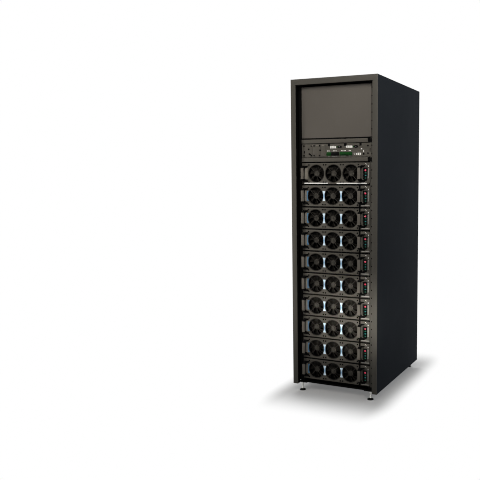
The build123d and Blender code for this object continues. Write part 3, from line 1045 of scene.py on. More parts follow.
@dataclass(frozen=True)
class Layout:
    """Main sizes of the cabinet, and the places that follow from them."""

    width: float = 600.0
    depth: float = 850.0
    foot: float = 48.0
    height: float = 2000.0
    stile: float = 35.0
    rail: float = 37.0
    sheet: float = 3.0
    recess: float = 32.0
    skin: float = 12.0
    fascia_side_gap: float = 27.5
    cover_side_gap: float = 21.0
    fascia_sheet: float = 3.5
    fascia_gap: float = 5.0
    rows: int = 10
    stack_base: float = 31.0
    stack_share: float = 0.746
    cover: float = 25.5
    seam: float = 3.0
    control: float = 86.0
    top_gap: float = 11.0

    @property
    def front(self) -> float:
        """Y of the front frame's face."""
        return -self.depth / 2

    @property
    def back(self) -> float:
        """Y of the cabinet's back."""
        return self.depth / 2

    @property
    def top(self) -> float:
        """Z of the roof's ribs."""
        return self.foot + self.height

    @property
    def half(self) -> float:
        """Half the cabinet's width."""
        return self.width / 2

    @property
    def mouth(self) -> float:
        """Half the width of the front opening."""
        return self.half - self.stile

    @property
    def mouth_top(self) -> float:
        """Z of the front opening's top."""
        return self.top - self.rail

    @property
    def fascia_width(self) -> float:
        """Width of the modules, the control plate and the top panel."""
        return 2 * (self.mouth - self.fascia_side_gap)

    @property
    def cover_width(self) -> float:
        """Width of the cable covers with their end inserts."""
        return 2 * (self.mouth - self.cover_side_gap)

    @property
    def pitch(self) -> float:
        """Height of one module's place in the stack."""
        bay = self.mouth_top - self.foot - self.stack_base
        return self.stack_share * bay / self.rows

    @property
    def fascia(self) -> float:
        """Y of the fascias' faces."""
        return self.front + self.recess

    @property
    def fascia_back(self) -> float:
        """Y of the fascias' backs."""
        return self.fascia + self.fascia_sheet

    @property
    def stack_top(self) -> float:
        """Z of the module stack's top."""
        return self.foot + self.stack_base + self.rows * self.pitch

    @property
    def lower_cover(self) -> float:
        """Z of the lower cable cover's foot."""
        return self.stack_top + self.fascia_gap / 2

    @property
    def control_base(self) -> float:
        """Z of the control panel's foot."""
        return self.lower_cover + self.cover + self.seam

    @property
    def upper_cover(self) -> float:
        """Z of the upper cable cover's foot."""
        return self.control_base + self.control + self.seam

    def row_middle(self, row: int) -> float:
        """Z of a module's middle, counted from the top."""
        return self.stack_top - (row + 0.5) * self.pitch


PLAN = Layout()


@dataclass
class CabinetShell:
    """Front frame, side panels, roof, back and feet."""

    plan: Layout = PLAN
    corner: float = 2.0
    fold_radius: float = 2.5
    fold_steps: int = 5
    edge_radius: float = 1.8
    edge_steps: int = 3
    rib_width: float = 30.0
    rib_height: float = 3.0
    rib_margin: float = 70.0
    rib_count: int = 3
    louvre_depth: float = 5.0
    louvre_pitch: float = 24.0
    louvre_sink: float = 0.4
    louvres_per_row: int = 3
    # Black patch under each louvre's lip: painted shade in its mouth.
    mouth: Block = Block((-226.0, -1.0, -4.5), (226.0, 0.3, -0.5), 0.2, 1, 1.5)
    rear_screw_insets: Flat = (14.0, 22.0)
    rear_screw_sink: float = 5.2
    rear_screw_count: int = 7
    foot_x: float = 245.0
    foot_setback: float = 32.0
    rear_inset: float = 6.0
    pad: Loop = (
        *((0, 0), (19.5, 0), (21, 1.2), (21, 3.2), (20, 4.2)),
        *((16, 5.4), (10.4, 10.4), (9, 12), (0, 12)),
    )
    stud: Loop = ((0, 11.5), (5.0, 11.5), (5.0, 52), (0, 52))
    collar: Loop = ((0, 12), (8, 12), (8.5, 12.6), (8.5, 15), (8, 15.6), (0, 15.6))
    nut_radius: float = 10.0
    nut_span: Flat = (42, 48)
    thread_start: float = 15.0
    strip_insets: Flat = (25.5, 3.5)
    strip_sheet: float = 0.8
    # Black square laid where each punched hole is: painted shade.
    hole: Block = Block((-4.2, -0.1, -4.2), (4.2, 0.3, 4.2), 0.1, 1)
    hole_count: int = 38

    def build(self) -> None:
        """Builds and fits every piece of the shell."""
        fit("front_frame.face", self.front_frame(), Slot.FRAME, ["front_frame"])
        for side, sign in (("left", -1), ("right", 1)):
            fit(f"{side}_side.skin", self.side(sign), Slot.SIDE, [f"{side}_side_panel"])
        fit("roof.pan", self.roof(), Slot.SIDE, ["roof_panel"])
        fit("rear.pan", self.rear(), Slot.SIDE, ["rear_panel"])
        fit("rear.louvres", self.louvres(), Slot.SIDE)
        fit("rear.screws", self.rear_screws(), Slot.DARK)
        fit("feet.pads", self.pads(), Slot.BLACK, ["foot_pads"])
        fit("feet.studs", self.studs(), Slot.BRIGHT, ["foot_studs"])
        fit("rack_uprights.face", self.upright_face(), Slot.FRAME)
        self.dress_inner_nodes()

    def front_frame(self) -> Mesh:
        """Folded face plate, mitred round the opening, with dark returns, partly painted shade."""
        plan, fold, edge = self.plan, self.fold_radius, self.edge_radius
        section = [(0.0, plan.recess)]
        section += arc((fold, fold), fold, 180, 270, self.fold_steps)
        section += arc((plan.stile - edge, edge), edge, 270, 360, self.edge_steps)
        section += [(plan.stile, plan.sheet), (plan.sheet, plan.sheet), (plan.sheet, plan.recess)]
        # Finish 1 on the returns: partly their own dark lining, partly painted shade in the bay's
        # sides.
        paints = [1] + [0] * (len(section) - 3) + [1, 1]
        slope = (plan.rail - plan.sheet) / (plan.stile - plan.sheet)

        def ring(sign: int, high: bool) -> list[Point]:
            """The section at one end of a stile."""
            places = []
            for u, w in section:
                rise = u if u <= plan.sheet else plan.sheet + (u - plan.sheet) * slope
                z = plan.mouth_top + rise if high else plan.foot
                places.append((sign * (plan.mouth + u), plan.front + w, z))
            return places

        rings = [ring(-1, False), ring(-1, True), ring(1, True), ring(1, False)]
        return Shape().loft(rings, paints).mesh("front_frame", [FRAME_PAINT, LINING_AND_SHADE_PAINT])

    def side(self, sign: int) -> Mesh:
        """Flat side panel with rolled edges."""
        plan = self.plan
        low, high = (plan.front + plan.sheet, plan.foot), (plan.back, plan.top)
        inner, outer = plan.half - plan.skin, plan.half
        span = (inner, outer) if sign > 0 else (-outer, -inner)
        outline = rectangle(low, high, self.corner)
        shape = Shape().plate(outline, span, Axis.X, radius=1.6, steps=3)
        return shape.mesh("side_panel", [SIDE_PAINT])

    def roof(self) -> Mesh:
        """Roof pan with pressed ribs across it."""
        plan, width, margin = self.plan, self.rib_width, self.rib_margin
        inner = plan.half - plan.skin
        front, lid = plan.front + plan.sheet, plan.top - self.rib_height
        outline = rectangle((-inner, front), (inner, plan.back), self.corner)
        shape = Shape().plate(outline, (plan.top - plan.skin, lid), Axis.Z, radius=1.2)
        first = front + margin
        step = (plan.back - margin - first - width) / (self.rib_count - 1)
        for i in range(self.rib_count):
            y = first + i * step
            outline = rectangle((margin - inner, y), (inner - margin, y + width), width / 2 - 1, 6)
            span = (lid - self.rib_height, plan.top)
            shape.plate(outline, span, Axis.Z, radius=2.6, steps=4)
        return shape.mesh("roof", [SIDE_PAINT])

    @staticmethod
    def _rear_box() -> tuple[list[float], list[float]]:
        """Corners of the rear panel, in millimetres."""
        low, high = ([c / MM for c in corner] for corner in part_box("rear_panel"))
        return low, high

    def rear(self) -> Mesh:
        """Rear panel pan, with a black patch of painted shade in the mouth of each louvre."""
        low, high = self._rear_box()
        back = high[1] - self.louvre_depth
        outline = rectangle((low[0], low[2]), (high[0], high[2]), self.corner)
        shape = Shape().plate(outline, (low[1], back), radius=1.2, steps=3)
        # Painted shade: a black patch in each louvre's mouth.
        for z in self._louvre_heights():
            shape.blocks([self.mouth], (0.0, back, z))
        return shape.mesh("rear", [SIDE_PAINT, LINING_AND_SHADE_PAINT])

    def _louvre_heights(self) -> list[float]:
        """Z of every louvre's lip."""
        middle = (self.louvres_per_row - 1) / 2
        rises = [(i - middle) * self.louvre_pitch for i in range(self.louvres_per_row)]
        return [self.plan.row_middle(row) + rise for row in range(self.plan.rows) for rise in rises]

    def louvres(self) -> Mesh:
        """Louvres behind every module."""
        y = self._rear_box()[1][1] - self.louvre_depth - self.louvre_sink
        places = [(0.0, y, z) for z in self._louvre_heights()]
        return LouvreTree(SIDE_PAINT).run(spots("louvre_places", places), "louvres")

    def rear_screws(self) -> Mesh:
        """Screws along the rear panel's edges."""
        low, high = self._rear_box()
        inset, rise = self.rear_screw_insets
        step = (high[2] - low[2] - 2 * rise) / (self.rear_screw_count - 1)
        places = [
            (x, high[1] - self.rear_screw_sink, low[2] + rise + step * i)
            for i in range(self.rear_screw_count)
            for x in (low[0] + inset, high[0] - inset)
        ]
        tree, points = ScrewTree(DARK_SCREW), spots("rear_screw_places", places)
        return tree.run(points, "rear_screws", radius=0.0042, turn=-math.pi / 2)

    def upright_face(self) -> Mesh:
        """Painted strip down the right-hand front upright; its punched holes are painted shade."""
        plan, count = self.plan, self.hole_count
        left, right = (plan.mouth - inset for inset in self.strip_insets)
        low, high = plan.foot + plan.stack_base, plan.mouth_top - plan.top_gap
        x, face = (left + right) / 2, plan.fascia_back - self.strip_sheet
        outline = rectangle((left, low), (right, high), 1.0, 1)
        shape = Shape().plate(outline, (face, plan.fascia_back), radius=0.2)
        # Black squares as painted shade in the holes.
        for i in range(count):
            shape.blocks([self.hole], (x, face, low + (high - low) * (i + 0.5) / count))
        return shape.mesh("upright_face", [FRAME_PAINT, LINING_AND_SHADE_PAINT])

    def _feet(self) -> list[Flat]:
        """X and Y of the feet."""
        plan = self.plan
        ends = (plan.front + self.foot_setback, plan.back - self.foot_setback - self.rear_inset)
        return [(x, y) for x in (-self.foot_x, self.foot_x) for y in ends]

    def pads(self) -> Mesh:
        """Rubber-soled pads with a coned steel cup."""
        shape = Shape()
        for place in self._feet():
            shape.turned(self.pad, place, Axis.Z, 36)
        return shape.mesh("pads", [RUBBER])

    def studs(self) -> Mesh:
        """Threaded studs with lock nuts."""
        shape = Shape()
        for place in self._feet():
            for profile in (self.stud, self.collar):
                shape.turned(profile, place, Axis.Z, 20)
            nut = circle(place, self.nut_radius, 6)
            shape.plate(nut, self.nut_span, Axis.Z, radius=0.7)
        rod = shape.mesh("studs", [ZINC])
        places = spots("thread_places", [(x, y, self.thread_start) for x, y in self._feet()])
        return merged("studs", [rod, ThreadTree(ZINC).run(places, "threads")])

    def dress_inner_nodes(self) -> None:
        """Gives the CAD nodes that stay their finishes."""
        # The inner frame takes the black lining: partly its own dark finish, partly painted shade
        # inside the bay.
        dark = dict.fromkeys(("base_pan", "corner_posts", "rack_uprights"), LINING_AND_SHADE_PAINT)
        for name, finish in {**dark, "module_runners": RUNNER_STEEL}.items():
            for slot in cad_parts[name].material_slots:
                slot.material = finish.material()
            LOG.info("%s: %s", name, finish.name)


@dataclass
class ControlSection:
    """Top panel, cable covers and the control unit between them."""

    plan: Layout = PLAN
    corner: float = 1.5
    overhang: float = 9.0
    # Gap under the top panel that shows the painted-shadow strip.
    panel_lift: float = 5.5
    panel_inset: float = 6.0
    cover_proud: float = 4.0
    cover_notch: float = 20.0
    cover_folds: tuple[float, ...] = (2.6, 0.6, 0.6, 2.6)
    insert_gap: float = 1.5
    insert_proud: float = 1.5
    insert: Block = Block((0.0, 0.7, 0.8), (24.5, 5.0, 24.7), 0.6)
    rib: Block = Block((1.6, 0.0, 3.3), (3.8, 1.4, 22.2), 0.5)
    rib_pitch: float = 4.6
    rib_count: int = 5
    recess: float = 1.0
    box_half: float = 220.0
    box_depth: float = 170.0
    slot_insets: Flat = (17.0, 6.5)
    slot: tuple[Flat, Flat] = ((-3.6, -12.0), (3.6, 10.0))
    slot_corner: float = 3.4
    # Black sheet behind each rack slot: painted shadow.
    slot_shadow: Block = Block((-4.0, -0.6, -14.0), (4.0, 0.0, 14.0), 0.2, 1)
    card_height: float = 79.0
    card_proud: float = 1.5
    card_gap: float = 4.0
    card_start_share: float = -0.485
    card_width_shares: tuple[float, ...] = (0.145, 0.116, 0.072)
    card_trim: tuple[Block, ...] = (
        Block((-224.0, -1.9, 22.0), (-217.0, 0.0, 39.0), 0.4, 2, 3.0),
        Block((-172.0, -2.7, 71.0), (-159.0, 0.0, 76.0), 0.5, 1),
        Block((-136.0, -2.7, 71.0), (-116.0, 0.0, 76.0), 0.5, 1),
    )
    grip_trim: tuple[Block, ...] = (
        Block((-3.2, -0.4, 0.0), (-0.6, 0.2, 79.0), 0.2, 2),
        Block((0.6, -5.0, 2.0), (28.2, 0.0, 77.0), 1.6),
        Block((5.0, -5.3, 71.0), (24.2, 0.0, 76.0), 0.5, 1),
    )
    socket_shares: Flat = (0.062, 0.3)
    socket_size: float = 15.0
    socket_drop: float = 21.0
    socket_proud: float = 3.0
    socket_hole: float = 5.0
    socket_core: Loop = ((0, -0.5), (5.4, -0.5), (5.4, 0), (0, 0))
    pin: Loop = ((0, -2.2), (0.6, -2.0), (0.6, -0.4), (0, -0.4))
    pin_circle: float = 2.9
    pin_count: int = 5
    link_lamp: Block = Block((-20.0, -1.4, -4.0), (-13.0, 0.0, 4.0), 0.5, 2)
    port: Block = Block((-12.0, -1.8, -6.0), (15.0, 0.0, 6.0), 0.8)
    top_blocks: tuple[Block, ...] = (
        Block((-51.5, -1.6, -16.0), (-36.5, 0.0, -0.5), 0.8),
        Block((61.0, -1.6, -16.0), (79.0, 0.0, -0.5), 0.8),
        Block((166.5, -1.6, -16.0), (181.5, 0.0, -0.5), 0.8),
    )
    terminal_rise: float = 10.5
    terminal_height: float = 21.0
    terminal_proud: float = 7.0
    terminal_chamfer: float = 3.0
    terminal_shares: Loop = ((-0.125, 0.063), (-0.056, 0.114), (0.069, 0.179))
    terminal_paints: tuple[int, ...] = (0, 1, 0)
    way: float = 7.6
    entry: Block = Block((-2.0, -0.1, 3.0), (2.0, 1.0, 9.0), 0.3, 1)
    clamp: Loop = ((0, -0.25), (1.7, -0.25), (1.9, 0), (1.9, 1), (0, 1))
    clamp_drop: float = 6.2
    card_screw_insets: Flat = (8.0, 12.0)
    card_screws: Loop = ((-188.0, 53.0), (-184.0, 23.0), (-178.0, 19.0), (-106.7, 45.0))
    plate_screws: Loop = ((224.0, 68.0), (224.0, 22.0), (196.0, 18.0))
    mark_place: float = -0.15
    mark_sheet: float = 0.5
    marks: tuple[tuple[tuple[float, ...], float, Flat], ...] = (
        ((-31.0, -20.5, -10.0, 0.5), 63.0, (9.6, 15.0)),
        ((80.0, 91.5, 103.0, 114.0), 64.0, (10.4, 14.0)),
        ((-54.0, -44.0, -12.0, -3.0, 6.0), 40.0, (6.6, 5.4)),
        ((44.0, 53.0, 62.0, 71.0, 97.0, 106.0), 40.0, (6.6, 5.4)),
        ((131.0,), 18.5, (3.4, 12.0)),
        ((147.5,), 18.0, (10.5, 12.0)),
        ((160.5,), 18.0, (10.5, 15.0)),
        ((173.0,), 18.0, (9.5, 14.0)),
        ((181.0,), 50.0, (7.5, 8.5)),
        ((194.5,), 36.0, (6.0, 10.0)),
        ((-46.0,), 6.5, (12.0, 2.0)),
        ((-5.0,), 6.5, (40.0, 2.0)),
        ((55.0,), 6.5, (34.0, 2.0)),
        ((103.0,), 6.5, (20.0, 2.0)),
    )

    def build(self) -> None:
        """Builds and fits every piece of the section."""
        fit("top_panel.plate", self.top_panel(), Slot.FRAME, ["top_blank_panel"])
        for side, base in (("upper", self.plan.upper_cover), ("lower", self.plan.lower_cover)):
            node = f"{side}_cable_cover"
            fit(f"{node}.strip", self.cover(base), Slot.MODULE, [node])
        fit("cable_inserts.ribs", self.inserts(), Slot.BLACK, ["cover_end_blocks"])
        fit("control.plate", self.plate(), Slot.MODULE, ["control_panel"])
        fit("control.cards", self.cards(), Slot.MODULE, ["card_slot_covers"])
        fit("control.terminals", self.terminal_blocks(), Slot.GREEN, ["terminal_blocks"])
        fit("control.sockets", self.sockets(), Slot.BLACK, ["signal_sockets"])
        fit("control.screws", self.screws(), Slot.DARK)
        fit("control.marks", self.prints(), Slot.BRIGHT)

    @property
    def face(self) -> float:
        """Y of the control plate's face."""
        return self.plan.fascia + self.recess

    @property
    def width(self) -> float:
        """Width of the control plate."""
        return self.plan.fascia_width

    @property
    def top(self) -> float:
        """Z of the control plate's top."""
        return self.plan.control_base + self.plan.control

    def top_panel(self) -> Mesh:
        """Plain plate that closes the top of the bay, over a black strip of painted shadow."""
        plan, half = self.plan, self.width / 2
        low = plan.upper_cover + plan.cover + plan.seam
        start, end = low + self.panel_lift, half + self.overhang
        outline = rectangle((-half, start), (end, plan.mouth_top - plan.top_gap), self.corner)
        shape = Shape().plate(outline, (plan.fascia, plan.fascia_back), radius=1.1, steps=3)
        # Black strip in the gap above the upper cable cover: painted shadow.
        corner = (-half + self.panel_inset, plan.fascia_back - 2, low)
        shape.slab(corner, (end, plan.fascia_back, start + 2), 0.3, 1)
        return shape.mesh("top_panel", [PANEL_PAINT, LINING_AND_SHADE_PAINT])

    def cover(self, base: float) -> Mesh:
        """Folded cover strip, cut back at its right end."""
        plan, top = self.plan, base + self.plan.cover
        front, back = plan.fascia - self.cover_proud, plan.fascia_back
        span = (-plan.fascia_width / 2, plan.cover_width / 2 - self.cover_notch)
        section = rounded(rectangle((front, base), (back, top)), self.cover_folds)
        return Shape().plate(section, span, Axis.X, radius=0.5).mesh("cable_cover", [MODULE_PAINT])

    def inserts(self) -> Mesh:
        """Ribbed black inserts that close the cable trays."""
        plan, front = self.plan, self.plan.fascia - self.insert_proud
        left = plan.cover_width / 2 - self.cover_notch + self.insert_gap
        shape = Shape()
        for base in (plan.upper_cover, plan.lower_cover):
            shape.blocks([self.insert], (left, front, base))
            for i in range(self.rib_count):
                shape.blocks([self.rib], (left + i * self.rib_pitch, front, base))
        return shape.mesh("inserts", [BLACK_MOULDING])

    def plate(self) -> Mesh:
        """Control plate with a rack slot at each end, and the box behind it."""
        plan, back, high = self.plan, self.plan.fascia_back, self.top
        half, low = self.width / 2, plan.control_base
        middle = (low + high) / 2
        places = (-half + self.slot_insets[0], half + self.overhang - self.slot_insets[1])
        slots = []
        for x in places:
            start, end = ((x + u, middle + v) for u, v in self.slot)
            slots.append(rectangle(start, end, self.slot_corner))
        outline = rectangle((-half, low), (half + self.overhang, high), self.corner)
        shape = Shape().plate(outline, (self.face, back), holes=slots, radius=0.7, wall=1)
        corner = (self.box_half, back + self.box_depth, high - plan.seam)
        shape.slab((-self.box_half, back, low + plan.seam), corner, 1.0, 2)
        # Painted shadow behind each rack slot.
        for x in places:
            shape.blocks([self.slot_shadow], (x, back, middle))
        return shape.mesh("control_plate", [MODULE_PAINT, BLACK_MOULDING, RUNNER_STEEL])

    def _card_edges(self) -> list[Flat]:
        """Left and right of each card cover."""
        edges, x = [], self.card_start_share * self.width
        for share in self.card_width_shares:
            edges.append((x, x + share * self.width))
            x += share * self.width + self.card_gap
        return edges

    def cards(self) -> Mesh:
        """Card slot covers with light ledges, the last with a pressed grip and a dark seam."""
        low = self.plan.control_base + (self.plan.control - self.card_height) / 2
        front, back = self.face - self.card_proud, self.face + 0.2
        edges = self._card_edges()
        shape = Shape()
        for left, right in edges:
            shape.slab((left, front, low), (right, back, low + self.card_height), 0.6, 0, 1.6)
        shape.blocks(self.grip_trim, (edges[-1][0], self.face, low))
        shape.blocks(self.card_trim, (0.0, self.face, low))
        return shape.mesh("cards", [MODULE_PAINT, STRIP_PAINT, BLACK_MOULDING])

    def terminal_blocks(self) -> Mesh:
        """Plug-in terminals: a screw and a wire entry for each way."""
        low = self.plan.control_base + self.terminal_rise
        high, cut = low + self.terminal_height, self.terminal_chamfer
        face, back = self.face - self.terminal_proud, self.face
        corners = [(face, low), (back, low), (back, high), (face + cut, high), (face, high - cut)]
        section = rounded(corners, 0.5, 2)
        shape = Shape()
        for shares, paint in zip(self.terminal_shares, self.terminal_paints):
            start, width = (share * self.width for share in shares)
            shape.plate(section, (start, start + width), Axis.X, radius=0.4, paint=paint)
            ways = max(2, round(width / self.way))
            for i in range(ways):
                x = start + (i + 0.5) * width / ways
                shape.blocks([self.entry], (x, face, low))
                shape.turned(self.clamp, (x, high - self.clamp_drop), sides=12, paint=2, start=face)
        return shape.mesh("terminals", [TERMINAL_GREEN, BLACK_MOULDING, DARK_SCREW])

    def sockets(self) -> Mesh:
        """Signal sockets in square bodies, with the small link lamps and ports beside them."""
        z, face = self.top - self.socket_drop, self.face
        half, span = self.socket_size / 2, (face - self.socket_proud, face - 0.3)
        shape, places = Shape(), [share * self.width for share in self.socket_shares]
        for x in places:
            outline = rectangle((x - half, z - half), (x + half, z + half), 1.2)
            shape.plate(outline, span, holes=[circle((x, z), self.socket_hole, 24)], radius=0.6)
            shape.turned(self.socket_core, (x, z), sides=24, start=face)
            for spot in arc((x, z), self.pin_circle, 90, 450, self.pin_count)[:-1]:
                shape.turned(self.pin, spot, sides=8, paint=1, start=face)
            shape.blocks([self.link_lamp], (x, face, z))
        shape.blocks(self.top_blocks, (0.0, face, self.top))
        for x in places:
            shape.blocks([self.port], (x, face, z))
        return shape.mesh("sockets", [BLACK_MOULDING, ZINC, TERMINAL_GREEN])

    def screws(self) -> Mesh:
        """Card screws and the control plate's own screws."""
        low, front = self.plan.control_base, self.face - self.card_proud
        inset, rise = self.card_screw_insets
        places = [
            (x, front, z)
            for left, right in self._card_edges()[:2]
            for x in (left + inset, right - inset)
            for z in (low + rise, self.top - rise)
        ]
        places += [(x, front, low + z) for x, z in self.card_screws]
        places += [(x, self.face, low + z) for x, z in self.plate_screws]
        points = spots("control_screws", places)
        return ScrewTree(BLACK_SCREW).run(points, "control_screws", radius=0.0052)

    def prints(self) -> Mesh:
        """Blank white labels and small printed dashes beside the sockets and terminals."""
        y, base = self.face + self.mark_place, self.plan.control_base
        places = [(x, y, base + rise) for xs, rise, _ in self.marks for x in xs]
        sizes = [(wide, self.mark_sheet, high) for xs, _, (wide, high) in self.marks for _ in xs]
        return MarkTree(WHITE_PRINT).run(spots("marks", places, sizes), "marks")


class Kind(Enum):
    """The two kinds of module."""

    BYPASS = 0
    POWER = 1


@dataclass
class FanModule:
    """One withdrawable module, built about its own middle and then put in its row."""

    kind: Kind
    plan: Layout = PLAN
    wing: float = 17.5
    corner: float = 1.5
    bypass_corners: tuple[float, ...] = (1.5, 16.0, 1.5, 1.5)
    # How far the fascia stops short, top and bottom, for the painted-shade seam strips.
    edge: float = 0.9
    seam_shade_relief: float = 2.3
    # Pale strip right of the signal window: painted highlight on the fascia's bent edge.
    edge_highlight_strip: Block = Block((2.2, -1.2, -31.0), (9.8, 0.5, 31.0), 0.6, 2, 2.0)
    # Lighter strip right of the left handle: painted highlight where the fascia catches light.
    handle_highlight_strips: tuple[Block, ...] = (
        Block((5.0, -0.8, -36.0), (25.0, 0.5, 36.0), 0.5, 4, 2.0),
        Block((5.0, -0.8, -36.0), (16.5, 0.5, 36.0), 0.5, 4, 2.0),
    )
    split_inset: float = 68.5
    split_width: float = 10.5
    split_lap: float = 3.0
    latch: Block = Block((-56.5, -3.0, 8.0), (-0.5, 0.5, 14.5), 1.2, 2, 2.0)
    signal_inset: float = 31.5
    signal_size: Flat = (31.0, 68.0)
    signal_corners: tuple[float, ...] = (2.0, 9.0, 2.0, 2.0)
    bezel_drop: float = 13.0
    bezel_inset: float = 4.0
    bezel_corners: tuple[float, ...] = (2.0, 13.0, 0.5, 0.5)
    red_lamp: Flat = (207.0, 19.0)
    lens: Loop = ((0, -0.6), (3.4, -0.2), (5.6, 0.7), (5.6, 1.6), (0, 1.6))
    lamps: tuple[Block, ...] = (
        Block((-4.1, 0.2, 1.1), (7.1, 1.6, 6.1), 0.6, 2, 2.0),
        Block((-3.7, 0.2, -15.5), (6.7, 1.6, -10.5), 0.6, 3, 2.0),
        Block((-3.1, 0.2, -32.0), (6.1, 1.6, -27.0), 0.6, 2, 2.0),
    )
    tick_start: float = 27.0
    tick_pitch: float = 9.0
    tick: Block = Block((1.5, 1.0, -0.8), (4.5, 1.6, 0.8), 0.2, 4)
    tick_count: int = 7
    case_depth: float = 640.0
    case_rise: float = 8.0
    case_gap: float = 6.0
    lid_sheet: float = 1.4
    lid_margins: Flat = (2.0, 4.0)
    vent_grid: tuple[int, int] = (9, 4)
    vent_start: Flat = (-160.0, 90.0)
    vent_pitch: Flat = (40.0, 46.0)
    vent_reach: Flat = (3.0, 15.0)
    fan_count: int = 3
    fan_room_share: float = 0.1
    fan_gap: float = 6.5
    fan_rim: float = 10.6
    fan_shifts: Flat = (9.7, 3.2)
    opening_flats: Flat = (57.4, 55.3)
    well: float = 46.0
    well_parts: Sequence[tuple[Loop, int]] = (
        (((0, -0.6), (56.9, -0.6), (56.9, 0.4), (0, 0.4)), 40),
        (((0, -15.2), (15.0, -15.2), (17.0, -13.2), (17.0, 0), (0, 0)), 28),
        (((57.2, -45.1), (57.2, -4), (53.2, -4), (53.2, -36.5), (54.4, -41.9)), 48),
    )
    rotor_gap: float = 8.5
    stay_ends: Flat = (14.0, 55.5)
    stay_size: Flat = (4.0, 10.2)
    guard_sink: float = 1.6
    handle_height: float = 92.0
    handle_reach: float = 30.0
    handle_corner: float = 10.0
    handle_width: float = 21.0
    handle_insets: Flat = (15.3, 62.5)
    grip: float = 20.0
    strap: float = 5.0
    strap_relief: float = 1.2
    strap_lap: float = 0.6
    inner_cut: float = 3.0
    liner: float = 0.8
    leg: float = 12.0
    leg_margin: float = 0.4
    bracket_height: float = 13.0
    bracket_proud: float = 5.5
    bracket_relief: float = 3.0
    bracket_starts: Flat = (-10.0, 3.0)
    bracket_ends: Flat = (27.0, 31.0)
    bracket_cuts: Flat = (6.0, 9.0)
    screw_reach: Flat = (52.5, 55.5)
    rivet_places: Point = (10.0, 80.0, 92.0)
    rivet_count: int = 7
    mark_sink: float = 0.2
    marks: Loop = ((209.0, 60.5), (214.5, 57.5), (228.0, 44.0))
    mark_sizes: tuple[Point, ...] = ((5.0, 0.8, 4.0), (3.5, 0.8, 3.5), (6.0, 0.8, 8.5))
    bars: tuple[Block, ...] = (
        Block((-223.5, -1.5, 3.5), (-53.5, 0.3, 10.5), 0.6, 0, 1.5),
        Block((9.5, -1.5, 3.5), (217.5, 0.3, 10.5), 0.6, 0, 1.5),
    )
    strip_half: float = 31.5
    strip_width: float = 17.5
    strip_gap: float = 0.2
    strip_steps: int = 14
    shoe: Block = Block((-9.0, -0.9, -3.0), (9.0, 0.2, 3.0), 0.4, 1, 2.0)
    shoe_rise: float = 36.0
    left_end: float = 17.0

    @property
    def right(self) -> float:
        """X of the fascia's right edge."""
        return self.plan.fascia_width / 2

    @property
    def half(self) -> float:
        """Half the fascia's height."""
        return (self.plan.pitch - self.plan.fascia_gap) / 2

    @property
    def case_top(self) -> float:
        """Z of the case's lid."""
        return self.plan.pitch / 2 - self.case_gap

    @property
    def handle_xs(self) -> Flat:
        """X of the two handles."""
        return (self.handle_insets[0] - self.right, self.right - self.handle_insets[1])

    @property
    def window_edges(self) -> Flat:
        """X of the signal window's sides."""
        middle, reach = self.right - self.signal_inset, self.signal_size[0] / 2
        return (middle - reach, middle + reach)

    @property
    def fan_pitch(self) -> float:
        """Distance between fan axes."""
        left, right = self.handle_xs
        return (right - left - self.handle_width) / (self.fan_count + self.fan_room_share)

    @property
    def opening(self) -> float:
        """Radius of the fan openings."""
        return min(self.fan_pitch - self.fan_gap, 2 * (self.half - self.fan_rim)) / 2

    @property
    def fans(self) -> list[float]:
        """X of each fan's axis."""
        middle = sum(self.handle_xs) / 2 + self.fan_shifts[self.kind.value]
        centre = (self.fan_count - 1) / 2
        return [middle + (i - centre) * self.fan_pitch for i in range(self.fan_count)]

    def templates(self) -> dict[str, tuple[Mesh, Slot]]:
        """Every mesh of the module about its own middle."""
        return {
            "fascia": (self.fascia(), Slot.MODULE),
            "case": (self.case(), Slot.DARK),
            "guards": (self.guards(), Slot.ROTOR),
            "handles": (self.handles(), Slot.MODULE),
            "signals": (self.signals(), Slot.BLACK),
            "screws": (self.screws(), Slot.DARK),
            "trim": (self.trim(), Slot.BRIGHT),
        }

    def _opening(self, x: float) -> list[Flat]:
        """A fan opening: a circle with its two sides cut flat."""
        flat = self.opening_flats[self.kind.value]
        limit = math.degrees(math.acos(flat / self.opening))
        upper = arc((x, 0), self.opening, limit, 180 - limit, 28)
        lower = arc((x, 0), self.opening, 180 + limit, 360 - limit, 28)
        return upper + lower

    def _window(self) -> list[Flat]:
        """Outline of the signal window, rounded at its lower right."""
        (left, right), half = self.window_edges, self.signal_size[1] / 2
        return rounded(rectangle((left, -half), (right, half)), self.signal_corners)

    def fascia(self) -> Mesh:
        """Fascia with its fan openings, split beside the right handle on power modules."""
        face, back = self.plan.fascia, self.plan.fascia_back
        span, right, half = (face, back), self.right, self.half - self.seam_shade_relief
        openings = [self._opening(x) for x in self.fans]
        window = self._window()
        shape = Shape()
        if self.kind is Kind.BYPASS:
            corners = rectangle((-right, -half), (right, half))
            outline = rounded(corners, self.bypass_corners, 6)
            shape.plate(outline, span, holes=[*openings, window], radius=self.edge, wall=1)
        else:
            split, reach = right - self.split_inset, self.split_width / 2 + 1
            parts = (((-right, split - reach), openings), ((split + reach, right), [window]))
            for (start, end), holes in parts:
                outline = rectangle((start, -half), (end, half), self.corner)
                shape.plate(outline, span, holes=holes, radius=self.edge, wall=1)
            # Black sheet behind the split: painted shade in the gap.
            reach += self.split_lap
            shape.slab((split - reach, back - 1, 1 - half), (split + reach, back, half - 1), 0.3, 3)
            shape.blocks([self.latch], (right, face, -self.half))
        # Painted highlight: a pale strip right of the signal window.
        shape.blocks([self.edge_highlight_strip], (self.window_edges[1], face, 0.0))
        # Painted highlight on the fascia beside the left handle.
        shape.blocks([self.handle_highlight_strips[self.kind.value]], (self.handle_xs[0], face, 0.0))
